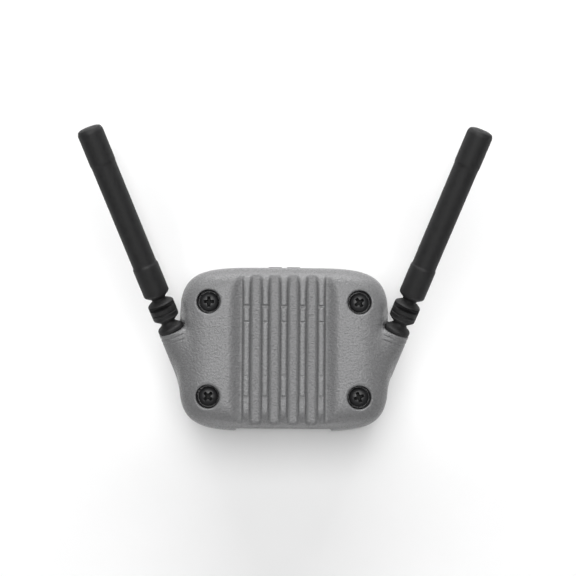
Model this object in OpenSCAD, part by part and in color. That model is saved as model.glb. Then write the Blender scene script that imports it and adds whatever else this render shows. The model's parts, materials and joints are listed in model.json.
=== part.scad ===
// Diversity wireless audio receiver: a ribbed two-part casing with two flexible antennas.
// The unit lies on its flat front face. +X is its right side, +Y is the end that the antennas
// point to, and +Z comes out of the ribbed back. The origin is the middle of the front face.

/* [Casing] */
// Width of the casing, side to side
casing_w = 105.2; // [103:0.2:106]
// Height of the casing, socket end to antenna end
casing_h = 81.8; // [80:0.2:83]
// Depth of the casing, front face to rib tops
casing_d = 44; // [43.5:0.5:45]
// Squareness of the casing outline, where 2 is an ellipse
outline_power = 5; // [4.5:0.5:6]
// Wall thickness of both casings
wall = 3.2; // [3:0.1:3.4]
// Height of the parting line above the front face
part_z = 16; // [15.5:0.5:16.5]

/* [Ribs] */
// Number of ribs standing on the back
rib_count = 5; // [3:2:5]
// Distance between rib centres
rib_pitch = 9.05; // [8.9:0.05:9.2]
// Width of a rib at its top
rib_top = 2.4; // [2:0.1:3]
// Width of a rib at its foot
rib_foot = 4.3; // [4:0.1:5]
// Depth of the channels between the ribs
rib_h = 2.9; // [2:0.1:3]
// Width of the whole ribbed trough
trough_w = 52.4; // [52:0.2:54]

/* [Casing screws] */
// Distance between screw centres across the casing
screw_x = 73.5; // [72:0.1:75]
// Distance between screw centres along the casing
screw_y = 46.1; // [45:0.1:48]
// Thread diameter of the casing screws
screw_d = 5; // [4:0.5:5]
// Diameter of the pan heads
screw_head_d = 9.3; // [8:0.1:9.4]
// Diameter of the wells that the heads sit in
well_d = 11.6; // [11:0.2:12]

/* [Antennas] */
// Lean of each antenna outward from the casing's height
antenna_lean = 21.2; // [20:0.2:23]
// Rise of each antenna away from the front face
antenna_rise = 18; // [17:0.5:19]
// Diameter of the antenna sleeve at its base and of its boss
antenna_d = 12.8; // [12.6:0.1:13]
// Length from the boss to the antenna tip
antenna_len = 106.6; // [105:0.1:118]
// Distance of each boss end from the middle plane
boss_x = 55.2; // [55:0.1:56]
// Position of each boss end along the casing
boss_y = 9; // [8:0.1:9]
// Height of each boss end above the front face
boss_z = 35.5; // [35:0.1:36]

/* [Sockets and keys] */
// Diameter of the audio jack's bore, for a 6.35 mm plug
jack_bore = 6.5; // [6.4:0.05:6.6]
// Diameter of the power inlet's bore, for a 5.5 mm plug
inlet_bore = 5.6; // [5.5:0.05:5.8]
// Width of the recessed bay that holds both sockets
bay_w = 46; // [44:0.5:48]
// Clearance round each key
key_gap = 0.25; // [0.2:0.05:0.3]

/* [Hidden] */
$fn = 48;
far = 200;                       // longer than anything a cutter has to pass
slip = 0.05;                     // gap between parts that fit together
half_w = casing_w / 2;
half_h = casing_h / 2;
shell_sides = 72;                // points round an outer shell
cavity_sides = 48;               // points round a cavity

// Rear casing
draft = 0.8;                     // the outside draws in this far up to the shoulder
crown_h = 13;                    // height of the rounded shoulder
crown_power = 2.5;
crown_flat = 0.6;                // part of the outline that stays flat on the back
crown_steps = 8;
roof_z = casing_d - 6;           // inside of the ribbed back
roof_h = 7;
trough_floor_w = 42.3;
notch_deep = 0.9;                // cross notches in the rib tops
notch_fine = 0.5;
rib_step_y = -22.6;              // below this the rib tops are a step lower
rib_step = 0.5;

// Front casing
face_h = 9;                      // height of its rounded shoulder
face_flat = 0.8;
floor_z = wall;

// Casing screws
seat_z = 35.8;                   // floor of the wells
seal_h = 0.8;
head_h = 3.7;
screw_end_z = 10;
cross_w = 1.1;
cross_len = 5;
cross_depth = 2;
cross_turns = [0, 35, 45, 20];   // how far each cross recess is turned
post_r = well_d / 2 + 2.8;
front_post_r = 6.5;
insert_r = 3.5;
insert_low = 7;
insert_high = 15.5;

// Gasket
gasket_in = 2.3;                 // from the casing's outside
gasket_w = 0.9;
gasket_h = 1.2;

// Antennas, as heights along the antenna from the end of its boss
boss_r = antenna_d / 2 + 0.15;
boss_len = 30;
boss_inner = 20;                 // length of the boss that also shows inside
bulge_r = 9.5;
socket_r = 4;
socket_len = 12;
thread_r = 3.2;
lead_hole_r = 2;
lead_r = 0.9;
lead_steps = 14;
neck_r = 3.4;
neck_gap = 0.35;                 // round the ball of each neck
low_neck = 5;
high_neck = 18;
shaft_r = antenna_d / 2;
shaft_waist_r = shaft_r - 0.45;
tip_r = shaft_r - 0.2;
scoop_r = 8.4;                   // hollow that the knuckle stands in
scoop_open = 13.8;               // its width where it opens towards the back
core_r = 1.5;

// Boards
board_t = 1.6;
board_z = 11.4;
board_top = board_z + board_t;
board_margin = 1.6;
board_holes = [[38, 0], [-38, 0], [0, 32], [0, -32]];
audio_z = 32;
audio_top = audio_z + board_t;
audio_w = 56;
audio_low_y = -18;
audio_high_y = 28;
audio_holes = [[24, 24], [-24, 24], [24, -14], [-24, -14]];
m3_r = 1.5;
m3_head_r = 2.75;
m3_head_h = 2.4;
standoff_r = 3.3;
chip_h = 1.8;
pad_h = 0.8;

// Sockets
socket_x = 11;
socket_z = 24.5;
bay_depth = 2.05;
bay_low_z = 9;
socket_step = 1.4;               // the socket panel lies this much deeper than the bay
panel_y = -half_h + bay_depth + socket_step;
panel_w = 42;
panel_low_z = 17.2;
panel_high_z = 32;
bushing_y = half_h - 2.3;
inside_y = half_h - draft - wall - socket_step;
nut_r = 6.8;
nut_h = 1.1;
bushing_r = 4.75;
jack_len = 24;
inlet_bushing_r = 4.6;
inlet_len = 14;
washer_h = 0.7;

// Keys on the antenna end
top_key_x = 4.6;
top_key_w = 6.8;
top_key_h = 4.2;
top_key_face = half_h - 0.02;
top_flange = half_h - 2.4;
top_stem = half_h - 4.3;
flange_t = 0.9;
frame_w = 20;
frame_h = 8;
frame_y = half_h - 1.3;
frame_t = 0.85;
window_w = 18.4;
window_h = 6.6;
key_board_y = half_h - 10.1;
key_board_w = 34;
key_board_screw_x = 14;

// Keys and window on the front
volume_x = 12;
volume_y = -16;
volume_w = 13;
volume_h = 8;
window_y = 16;
status_w = 56;
status_h = 16;
status_t = 1.1;
sunk = 0.3;                      // window and keys lie this far below the face
led_xs = [-20, -10, 0, 10, 20];

// Service port and its cover
port_y = -17;
port_z = 24.5;
cover_w = 6.4;
cover_h = 12.4;
cover_in_x = half_w - 2.3;
cover_t = 1.3;
pocket_x = cover_in_x - 0.1;
port_x = half_w - 11.1;           // inner end of the port's shell

// ---------------------------------------------------------------- outlines and lofts

// Superellipse with half sizes a and b. Points near the axes are left out, so its flat runs are straight
function outline(a, b, n) = [for (i = [0 : n - 1])
    let (t = 360 * i / n,
         q = pow(pow(abs(cos(t)), outline_power) + pow(abs(sin(t)), outline_power),
                 -1 / outline_power))
    if (min(t % 90, 90 - t % 90) > 14) [a * q * cos(t), b * q * sin(t)]];

// Rectangle w by h with corner radius r
function rounded(w, h, r) = [for (c = [[1, 1, 0], [-1, 1, 90], [-1, -1, 180], [1, -1, 270]])
    for (t = [0 : 15 : 90])
    [c[0] * (w / 2 - r) + r * cos(c[2] + t), c[1] * (h / 2 - r) + r * sin(c[2] + t)]];

// Rings [a, b, z] of a rounded shoulder, from its foot at z to its flat top h above it
function shoulder(a, b, z, h, flat, steps) = [for (i = [0 : steps])
    let (t = 90 * i / steps,
         u = flat + (1 - flat) * pow(cos(t), 2 / crown_power))
    [a * u, b * u, z + h * pow(sin(t), 2 / crown_power)]];

// Closed solid through a stack of outlines, each ring being [a, b, z]
module loft(rings, sides) {
    n = len(outline(1, 1, sides));
    points = [for (r = rings) for (p = outline(r[0], r[1], sides)) [p[0], p[1], r[2]]];
    top = (len(rings) - 1) * n;
    walls = [for (k = [0 : len(rings) - 2]) for (i = [0 : n - 1])
        [k * n + i, (k + 1) * n + i, (k + 1) * n + (i + 1) % n, k * n + (i + 1) % n]];
    polyhedron(points, concat([[for (i = [0 : n - 1]) i]],
        [[for (i = [n - 1 : -1 : 0]) top + i]], walls), convexity = 6);
}

// Tube of radius r swept along points, with flat ends
module sweep(path, r, sides = 8) {
    last = len(path) - 1;
    rings = [for (i = [0 : last])
        let (d = path[min(i + 1, last)] - path[max(i - 1, 0)],
             t = d / norm(d),
             u = cross([0, 0, 1], t) / norm(cross([0, 0, 1], t)),
             v = cross(t, u))
        for (k = [0 : sides - 1])
        path[i] + r * (cos(360 * k / sides) * u + sin(360 * k / sides) * v)];
    polyhedron(rings, concat([[for (k = [0 : sides - 1]) k]],
        [[for (k = [sides - 1 : -1 : 0]) last * sides + k]],
        [for (i = [0 : last - 1]) for (k = [0 : sides - 1])
            [i * sides + k, (i + 1) * sides + k, (i + 1) * sides + (k + 1) % sides,
             i * sides + (k + 1) % sides]]), convexity = 6);
}

function bezier(a, b, c, d, n) = [for (i = [1 : n]) let (t = i / n, s = 1 - t)
    s * s * s * a + 3 * s * s * t * b + 3 * s * t * t * c + t * t * t * d];

// ---------------------------------------------------------------- places

module at_screws() {
    for (i = [0 : 3])
        translate([(i % 2 == 0 ? -1 : 1) * screw_x / 2, (i < 2 ? 1 : -1) * screw_y / 2, 0])
            rotate([0, 0, cross_turns[i]]) children();
}

// Local Z runs out along the right antenna, from the end of its boss
module at_antenna() {
    translate([boss_x, boss_y, boss_z]) rotate([0, 0, -antenna_lean])
        rotate([antenna_rise - 90, 0, 0]) children();
}

module both_sides() {
    children();
    mirror([1, 0, 0]) children();
}

// Local Z points out of the socket end of the casing
module at_socket(x) {
    translate([x, 0, socket_z]) rotate([90, 0, 0]) children();
}

// Local Z points out of the antenna end of the casing
module at_top() {
    translate([0, 0, socket_z]) rotate([-90, 0, 0]) children();
}

module plate(w, h, r, t) {
    linear_extrude(t) polygon(rounded(w, h, r));
}

module ring(r_out, r_in, h) {
    difference() {
        cylinder(r = r_out, h = h);
        translate([0, 0, -1]) cylinder(r = r_in, h = h + 2);
    }
}

// ---------------------------------------------------------------- casings

module rear_outside() {
    drawn = 1 - draft / half_w;
    loft(concat([[half_w, half_h, part_z]], shoulder(half_w * drawn, half_h * drawn,
        casing_d - crown_h, crown_h, crown_flat, crown_steps)),
        shell_sides);
    intersection() {
        both_sides() at_antenna() translate([0, 0, -boss_len])
            cylinder(r = boss_r, h = boss_len + 1);
        translate([-far / 2, -far / 2, part_z]) cube([far, far, far]);
    }
}

module rear_cavity() {
    a = half_w - draft - wall;
    b = half_h - draft - wall;
    difference() {
        loft(concat([[a, b, part_z - 1]],
            shoulder(a, b, roof_z - roof_h, roof_h, crown_flat, 5)), cavity_sides);
        both_sides() at_antenna() translate([0, 0, -boss_inner])
            cylinder(r = bulge_r, h = boss_inner + 10);
        at_screws() translate([0, 0, part_z - 2]) cylinder(r = post_r, h = far);
        for (p = audio_holes) translate([p[0], p[1], audio_top]) cylinder(r = standoff_r, h = far);
        for (s = [-1, 1]) at_top() translate([s * key_board_screw_x, 0, key_board_y + board_t])
            cylinder(r = standoff_r, h = far);
        translate([-panel_w / 2 - 2, -far - inside_y, 0]) cube([panel_w + 4, far, panel_high_z + 2]);
    }
}

// One channel between two ribs, and the sloping channel on each side of the field
module rib_channels() {
    low = casing_d - rib_h;
    high = casing_d + 1;
    grow = (rib_foot - rib_top) / 2 / rib_h;
    first = -(rib_count - 1) / 2;
    edge = (rib_count - 1) / 2 * rib_pitch;
    slope = (trough_w - trough_floor_w) / 2 / rib_h;
    for (i = [0 : rib_count - 2]) {
        x0 = (first + i) * rib_pitch + rib_foot / 2;
        x1 = x0 + rib_pitch - rib_foot;
        lift = rib_h + 1;
        polygon([[x0, low], [x1, low], [x1 + grow * lift, high], [x0 - grow * lift, high]]);
    }
    for (s = [-1, 1])
        polygon([[s * (edge + rib_foot / 2), low], [s * trough_floor_w / 2, low],
            [s * (trough_w / 2 + slope), high], [s * (edge + rib_top / 2 - grow), high]]);
}

module rib_field() {
    rotate([90, 0, 0]) translate([0, 0, -far / 2]) linear_extrude(far) rib_channels();
    w = (rib_count - 1) * rib_pitch + rib_top;
    translate([-w / 2, 20.1, casing_d - notch_deep]) cube([w, 1.5, far]);
    translate([-w / 2, 12.9, casing_d - notch_fine]) cube([w, 0.9, far]);
    translate([-w / 2, -14.3, casing_d - rib_step / 2]) cube([w, 1.9, far]);
    translate([-w / 2, -far, casing_d - rib_step]) cube([w, far + rib_step_y, far]);
}

module rear_casing() {
    color([0.46, 0.465, 0.48]) difference() {
        rear_outside();
        rear_cavity();
        rib_field();
        at_screws() {
            translate([0, 0, seat_z]) cylinder(d = well_d, h = far);
            cylinder(r = screw_d / 2 + 0.25, h = far);
        }
        both_sides() at_antenna() {
            translate([0, 0, -socket_len]) cylinder(r = socket_r + slip, h = far);
            translate([0, 0, -boss_len]) cylinder(r = lead_hole_r, h = far);
            cylinder(r = shaft_r + 0.7, h = 24);
            translate([0, 0, 8]) sphere(r = scoop_r);
            translate([-scoop_open / 2, -far / 2, 0]) cube([scoop_open, far / 2, 24]);
        }
        translate([-bay_w / 2, -half_h - 5, bay_low_z]) cube([bay_w, 5 + bay_depth, far]);
        translate([-panel_w / 2, panel_y - 9, panel_low_z])
            cube([panel_w, 9, panel_high_z - panel_low_z]);
        at_socket(-socket_x) cylinder(r = bushing_r + slip, h = far);
        at_socket(socket_x) cylinder(r = inlet_bushing_r + slip, h = far);
        at_top() {
            translate([0, 0, frame_y]) plate(frame_w + 0.4, frame_h + 0.4, 1.2, 10);
            translate([0, 0, 20]) plate(window_w, window_h, 0.8, 30);
            for (s = [-1, 1]) translate([s * key_board_screw_x, 0, key_board_y])
                cylinder(r = 1.25, h = 5.8);
        }
        for (p = audio_holes) translate([p[0], p[1], audio_z]) cylinder(r = m3_r + slip, h = 6.4);
        translate([pocket_x, port_y - 3.5, port_z - 7]) cube([10, 7, 13.5]);
        translate([40, port_y - 1.9, port_z - 4.8]) cube([20, 3.8, 9.6]);
    }
}

module front_casing() {
    a = half_w - draft - wall;
    b = half_h - draft - wall;
    lower = shoulder(half_w, half_h, 0, face_h, face_flat, 6);
    inner = shoulder(a, b, 0, face_h - wall + 1, face_flat, 4);
    color([0.44, 0.445, 0.46]) difference() {
        loft(concat([for (i = [6 : -1 : 0]) [lower[i][0], lower[i][1], face_h - lower[i][2]]],
            [[half_w, half_h, part_z]]), shell_sides);
        difference() {
            loft(concat([for (i = [4 : -1 : 0]) [inner[i][0], inner[i][1], face_h + 1 - inner[i][2]]],
                [[a, b, part_z + 1]]), cavity_sides);
            at_screws() cylinder(r = front_post_r, h = far);
            for (p = board_holes) translate([p[0], p[1], 0]) cylinder(r = standoff_r, h = board_z);
        }
        at_screws() translate([0, 0, insert_low - 0.2]) cylinder(r = insert_r + slip, h = far);
        for (p = board_holes) translate([p[0], p[1], 5]) cylinder(r = m3_r + slip, h = far);
        translate([0, 0, part_z - gasket_h]) gasket_ring(0, 2);
        translate([-bay_w / 2, -half_h - 5, bay_low_z]) cube([bay_w, 5 + bay_depth, far]);
        translate([0, window_y, -1]) plate(status_w + 0.4, status_h + 0.4, 3, sunk + status_t + 1);
        for (x = led_xs) translate([x, window_y, -1]) cylinder(r = 1.6, h = 10);
        for (s = [-1, 1]) translate([s * volume_x, volume_y, -1])
            plate(volume_w + 2 * key_gap, volume_h + 2 * key_gap, 3, 10);
    }
}

module gasket_ring(gap, h) {
    linear_extrude(h) difference() {
        polygon(outline(half_w - gasket_in - gap, half_h - gasket_in - gap, shell_sides));
        polygon(outline(half_w - gasket_in - gasket_w + gap, half_h - gasket_in - gasket_w + gap,
            shell_sides));
    }
}

module casing_gasket() {
    color([0.1, 0.1, 0.1]) translate([0, 0, part_z - gasket_h]) gasket_ring(slip, gasket_h);
}

module casing_screws() {
    color([0.12, 0.12, 0.13]) at_screws() difference() {
        union() {
            translate([0, 0, screw_end_z]) cylinder(r = screw_d / 2 - slip, h = seat_z - screw_end_z + 1);
            translate([0, 0, seat_z + seal_h]) rotate_extrude() polygon([[0, 0], [screw_head_d / 2, 0],
                for (t = [20 : 14 : 90]) [screw_head_d / 2 - 2.2 + 2.2 * cos(t), 1.2 + 2.5 * sin(t)],
                [0, head_h]]);
        }
        for (turn = [0, 90]) rotate([0, 0, turn])
            translate([-cross_len / 2, -cross_w / 2, seat_z + seal_h + head_h - cross_depth])
                cube([cross_len, cross_w, far]);
    }
}

module screw_seals() {
    color([0.08, 0.08, 0.08]) at_screws() translate([0, 0, seat_z])
        ring(screw_head_d / 2, screw_d / 2 + slip, seal_h);
}

module threaded_inserts() {
    color([0.78, 0.6, 0.28]) at_screws() translate([0, 0, insert_low])
        ring(insert_r, screw_d / 2, insert_high - insert_low);
}

// ---------------------------------------------------------------- boards and electronics

module main_board() {
    a = half_w - draft - wall - board_margin;
    b = half_h - draft - wall - board_margin;
    color([0.05, 0.3, 0.16]) translate([0, 0, board_z]) difference() {
        linear_extrude(board_t) polygon(outline(a, b, cavity_sides));
        at_screws() translate([0, 0, -1]) cylinder(r = front_post_r + 1, h = far);
        for (p = board_holes) translate([p[0], p[1], -1]) cylinder(r = m3_r + 0.2, h = far);
    }
}

// Pan head machine screw pointing down local -Z from the underside of its head
module small_screw(r, head_r, head_h, len) {
    difference() {
        union() {
            translate([0, 0, -len]) cylinder(r = r, h = len + 0.5);
            cylinder(r = head_r, h = head_h);
        }
        for (turn = [0, 90]) rotate([0, 0, turn]) translate([-head_r * 0.6, -0.35, head_h - 1])
            cube([head_r * 1.2, 0.7, 2]);
    }
}

module main_board_screws() {
    color([0.75, 0.75, 0.77]) for (p = board_holes) translate([p[0], p[1], board_top])
        small_screw(m3_r, m3_head_r, m3_head_h, 7.4);
}

module radio_module() {
    color([0.08, 0.2, 0.4]) translate([-19, -2, board_top]) cube([38, 18, 1]);
}

module radio_shield() {
    color([0.72, 0.73, 0.75]) translate([0, 7, board_top + 1]) difference() {
        plate(26, 16, 1, 3.2);
        translate([0, 0, -1]) plate(25.2, 15.2, 0.8, 3.8);
    }
}

module processor_chips() {
    color([0.1, 0.1, 0.11]) {
        translate([-34, -6, board_top]) cube([10, 10, chip_h]);
        translate([23, -6, board_top]) cube([8, 6, chip_h]);
        translate([-6, -14, board_top]) cube([12, 7, chip_h]);
    }
}

module capacitors() {
    color([0.16, 0.16, 0.2]) for (y = [-26, -16.5]) translate([23, y, board_top])
        cylinder(r = 4, h = 10);
}

module audio_transformer() {
    color([0.3, 0.24, 0.16]) translate([-8, 19, board_top]) {
        cube([16, 10, 9]);
        translate([2, 1, 9]) cube([12, 8, 2]);
    }
}

module board_link() {
    color([0.85, 0.83, 0.76]) {
        translate([25, 5, board_top]) cube([1.2, 14, audio_z - board_top]);
        for (z = [board_top, audio_z - 5]) translate([23.4, 4, z]) cube([4.4, 16, 5]);
    }
}

module audio_board() {
    color([0.05, 0.3, 0.16]) translate([0, 0, audio_z]) difference() {
        translate([-audio_w / 2, audio_low_y, 0]) cube([audio_w, audio_high_y - audio_low_y, board_t]);
        for (p = audio_holes) translate([p[0], p[1], -1]) cylinder(r = m3_r + 0.2, h = far);
    }
}

module audio_board_screws() {
    color([0.75, 0.75, 0.77]) for (p = audio_holes) translate([p[0], p[1], audio_z])
        rotate([180, 0, 0]) small_screw(m3_r, m3_head_r, m3_head_h, 5.8);
}

module amplifier_chips() {
    color([0.1, 0.1, 0.11]) for (s = [-1, 1]) translate([s * 10 - 5, -1, audio_top])
        cube([10, 10, chip_h]);
}

module thermal_pad() {
    color([0.55, 0.6, 0.68]) translate([-17, -3, audio_top + chip_h]) cube([34, 14, pad_h]);
}

module heat_spreader() {
    low = audio_top + chip_h + pad_h;
    color([0.8, 0.81, 0.82]) translate([0, 4, low]) plate(36, 16, 1, roof_z - low);
}

// ---------------------------------------------------------------- sockets

module audio_jack() {
    color([0.14, 0.14, 0.15]) at_socket(-socket_x) difference() {
        union() {
            cylinder(r = bushing_r, h = bushing_y);
            translate([-7, -6.5, inside_y - washer_h - jack_len]) cube([14, 13, jack_len]);
        }
        translate([0, 0, inside_y - jack_len + 1]) cylinder(d = jack_bore, h = far);
        translate([-far / 2, -far / 2, -far]) cube([far, far, far + inside_y - washer_h - jack_len]);
    }
}

module audio_jack_contacts() {
    color([0.8, 0.7, 0.4]) for (y = [-34, -28, -22]) translate([-socket_x - 5, y, 15])
        cube([10, 0.5, socket_z - 6.5 - 15]);
}

module socket_nut(r_in) {
    difference() {
        cylinder(r = nut_r, h = nut_h, $fn = 6);
        translate([0, 0, -1]) cylinder(r = r_in + slip, h = far);
    }
}

module audio_jack_nut() {
    color([0.7, 0.71, 0.72]) at_socket(-socket_x) translate([0, 0, -panel_y]) socket_nut(bushing_r);
}

module power_inlet() {
    color([0.1, 0.1, 0.1]) at_socket(socket_x) difference() {
        union() {
            translate([0, 0, 25]) cylinder(r = inlet_bushing_r, h = bushing_y - 25);
            translate([-6, -6, inside_y - washer_h - inlet_len]) cube([12, 12, inlet_len]);
        }
        translate([0, 0, inside_y - washer_h - inlet_len + 4]) cylinder(d = inlet_bore, h = far);
        translate([0, 0, 0]) cylinder(r = 1, h = far);
    }
}

module power_inlet_pin() {
    low = inside_y - washer_h - inlet_len + 0.5;
    color([0.8, 0.7, 0.4]) at_socket(socket_x) {
        translate([0, 0, low]) cylinder(r = 1 - slip, h = bushing_y - 1.2 - low);
        translate([0, 0, low - 0.5]) cylinder(r = 0.8, h = 1);
    }
}

module power_inlet_nut() {
    color([0.7, 0.71, 0.72]) at_socket(socket_x) translate([0, 0, -panel_y]) socket_nut(inlet_bushing_r);
}

module socket_seals() {
    color([0.08, 0.08, 0.08]) {
        at_socket(-socket_x) translate([0, 0, inside_y - washer_h])
            ring(6.3, bushing_r + slip, washer_h - slip);
        at_socket(socket_x) translate([0, 0, inside_y - washer_h])
            ring(5.9, inlet_bushing_r + slip, washer_h - slip);
    }
}

module service_port() {
    color([0.75, 0.76, 0.78]) translate([0, port_y, port_z]) rotate([0, 90, 0])
        translate([0, 0, port_x]) difference() {
            union() {
                plate(8.94, 3.26, 1.55, 8.2);
                translate([-4.4, -1.8, -1.2]) cube([8.8, 3.6, 2]);
            }
            difference() {
                translate([0, 0, 1.6]) plate(8.34, 2.66, 1.3, 20);
                translate([-3.3, -0.35, 0]) cube([6.6, 0.7, 5.4]);
            }
        }
}

// ---------------------------------------------------------------- front window and lights

module status_window() {
    color([0.07, 0.07, 0.08]) translate([0, window_y, sunk]) plate(status_w, status_h, 2.8, status_t);
}

module light_pipes() {
    color([0.9, 0.92, 0.94]) {
        for (x = led_xs) translate([x, window_y, 1.5]) cylinder(r = 1.5, h = 7.5);
        translate([-21, window_y - 1, 5]) cube([42, 2, 1.5]);
    }
}

module status_leds() {
    color([0.95, 0.95, 0.85]) for (x = led_xs) translate([x - 1.5, window_y - 1, 9.2])
        cube([3, 2, board_z - 9.2]);
}

module volume_switches() {
    color([0.25, 0.25, 0.26]) for (s = [-1, 1]) translate([s * volume_x - 3, volume_y - 3, 9.3])
        cube([6, 6, board_z - 9.3]);
}

// Key cap that points down, with a flange that keeps it in the casing
module volume_key(side) {
    translate([side * volume_x, volume_y, 0]) {
        translate([0, 0, sunk]) plate(volume_w, volume_h, 2.75, 3.4);
        translate([0, 0, floor_z + 0.1]) plate(volume_w + 2.4, volume_h + 2.4, 3, 0.9);
        translate([0, 0, 4]) cylinder(r = 1.5, h = 4.6);
    }
}

module volume_up_key() {
    color([0.13, 0.13, 0.14]) volume_key(1);
}

module volume_down_key() {
    color([0.13, 0.13, 0.14]) volume_key(-1);
}

// ---------------------------------------------------------------- keys on the antenna end

module key_frame() {
    color([0.1, 0.1, 0.11]) at_top() translate([0, 0, frame_y]) difference() {
        plate(frame_w, frame_h, 1, frame_t);
        for (s = [-1, 1]) translate([s * top_key_x, 0, -1])
            plate(top_key_w + 2 * key_gap, top_key_h + 2 * key_gap, 1, 4);
    }
}

module top_key(side) {
    at_top() translate([side * top_key_x, 0, 0]) {
        translate([0, 0, top_flange + 0.1])
            plate(top_key_w, top_key_h, 0.9, top_key_face - top_flange - 0.1);
        translate([0, 0, top_flange]) plate(top_key_w + 1.4, top_key_h + 1.4, 0.9, flange_t);
        translate([0, 0, top_stem]) cylinder(r = 1, h = 3);
    }
}

module power_key() {
    color([0.15, 0.15, 0.16]) top_key(-1);
}

module pair_key() {
    color([0.15, 0.15, 0.16]) top_key(1);
}

module key_switches() {
    color([0.25, 0.25, 0.26]) at_top() for (s = [-1, 1])
        translate([s * top_key_x - 2.5, -2.5, key_board_y + board_t]) cube([5, 5, 3.6]);
}

module key_board() {
    color([0.05, 0.3, 0.16]) at_top() translate([0, 0, key_board_y]) difference() {
        plate(key_board_w, 12, 1, board_t);
        for (s = [-1, 1]) translate([s * key_board_screw_x, 0, -1]) cylinder(r = 1.35, h = 5);
    }
}

module key_board_screws() {
    color([0.75, 0.75, 0.77]) at_top() for (s = [-1, 1])
        translate([s * key_board_screw_x, 0, key_board_y]) rotate([180, 0, 0])
            small_screw(1.2, 2.2, 1.6, 5.6);
}

// Rubber flap hinged at its end nearest the front face
module port_cover() {
    color([0.12, 0.12, 0.12]) translate([cover_in_x, port_y, port_z]) rotate([0, 90, 0]) {
        plate(cover_h, cover_w, 1, cover_t);
        translate([0, 0, -1.6]) plate(7.2, 2.2, 1, 2);
    }
}

// ---------------------------------------------------------------- antennas

module antenna_socket() {
    color([0.8, 0.65, 0.3]) at_antenna() translate([0, 0, -socket_len]) difference() {
        cylinder(r = socket_r, h = socket_len);
        translate([0, 0, 2]) cylinder(r = thread_r, h = far);
        translate([0, 0, 1]) cylinder(r = 0.7, h = far);
    }
}

module antenna_plug() {
    color([0.8, 0.65, 0.3]) at_antenna() {
        translate([0, 0, -8]) cylinder(r = thread_r - slip, h = 8.5);
        translate([0, 0, 0.5]) cylinder(r = 4.5, h = 1);
        translate([0, 0, -10.6]) cylinder(r = 0.6, h = 3);
    }
}

// Rubber foot: a disc that clamps on the boss and rises into the lower neck
module antenna_base() {
    color([0.1, 0.095, 0.09]) at_antenna() difference() {
        union() {
            rotate_extrude() polygon([[0, slip], [shaft_r - 0.4, slip], [shaft_r, 0.5], [shaft_r, 2],
                [shaft_r - 0.6, 2.7], [neck_r - 0.1, 3.7], [0, 3.7]]);
            cylinder(r = neck_r - 0.2, h = low_neck);
            translate([0, 0, low_neck]) sphere(r = neck_r);
        }
        translate([0, 0, 0.45]) cylinder(r = 4.55, h = 1.1);
        translate([0, 0, -1]) cylinder(r = thread_r, h = 2);
    }
}

// Rubber block between the two necks, with a socket below and a ball above
module antenna_knuckle() {
    r = shaft_r + 0.1;
    color([0.1, 0.095, 0.09]) at_antenna() difference() {
        union() {
            rotate_extrude() polygon([[0, low_neck + 0.7], [neck_r + 0.6, low_neck + 0.7],
                [r - 0.5, 6.5], [r, 7], [r, 8.1], [r - 0.3, 8.3], [r, 8.5], [r, 11],
                [r - 1.1, 11.3], [r - 1.1, 12.4], [r, 12.7], [r, 15.1], [r - 0.7, 15.8],
                [neck_r - 0.1, 16.7], [0, 16.7]]);
            cylinder(r = neck_r - 0.2, h = high_neck);
            translate([0, 0, high_neck]) sphere(r = neck_r);
        }
        translate([0, 0, low_neck]) sphere(r = neck_r + neck_gap);
        translate([0, 0, -far]) cylinder(r = neck_r + neck_gap, h = far + low_neck);
    }
}

// Rubber sleeve over the radiator, thicker at its foot and at its tip
module antenna_sleeve() {
    round = 2.6;
    color([0.1, 0.095, 0.09]) at_antenna() difference() {
        rotate_extrude() polygon([[0, high_neck + 0.7], [neck_r + 0.6, high_neck + 0.7],
            [shaft_r - 0.5, 20.2], [shaft_r, 20.9], [shaft_r, 34.8], [shaft_waist_r, 35.6],
            [shaft_waist_r, antenna_len - 18.9], [tip_r, antenna_len - 17.7],
            for (t = [0 : 15 : 90])
                [tip_r - round + round * cos(t), antenna_len - round - 0.4 + round * sin(t)],
            [0, antenna_len]]);
        translate([0, 0, high_neck]) sphere(r = neck_r + neck_gap);
        translate([0, 0, 24]) cylinder(r = core_r + slip, h = antenna_len - 32);
        translate([0, 0, 23.9]) cylinder(r = 3 + slip, h = 5.1);
    }
}

module antenna_core() {
    color([0.7, 0.62, 0.4]) at_antenna() {
        translate([0, 0, 24]) cylinder(r = core_r, h = antenna_len - 33);
        translate([0, 0, 24]) cylinder(r = 3, h = 4.9);
    }
}

// Coaxial lead from the antenna socket, through its boss, to the radio module
module antenna_lead() {
    dir = [sin(antenna_lean) * cos(antenna_rise), cos(antenna_lean) * cos(antenna_rise),
        sin(antenna_rise)];
    boss = [boss_x, boss_y, boss_z];
    bend = boss - (boss_inner - 1) * dir;
    plug = [16.5, 5, board_top + 2];
    path = concat([boss - (socket_len + slip) * dir],
        [bend], bezier(bend, bend - 6 * dir, [36, -12, board_top + 4.5], plug, lead_steps));
    color([0.2, 0.2, 0.22]) {
        sweep(path, lead_r);
        translate([plug[0] - 0.3, plug[1], board_top + 1]) cylinder(r = 1.5, h = 2);
    }
}

module mirrored() {
    mirror([1, 0, 0]) children();
}

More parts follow.
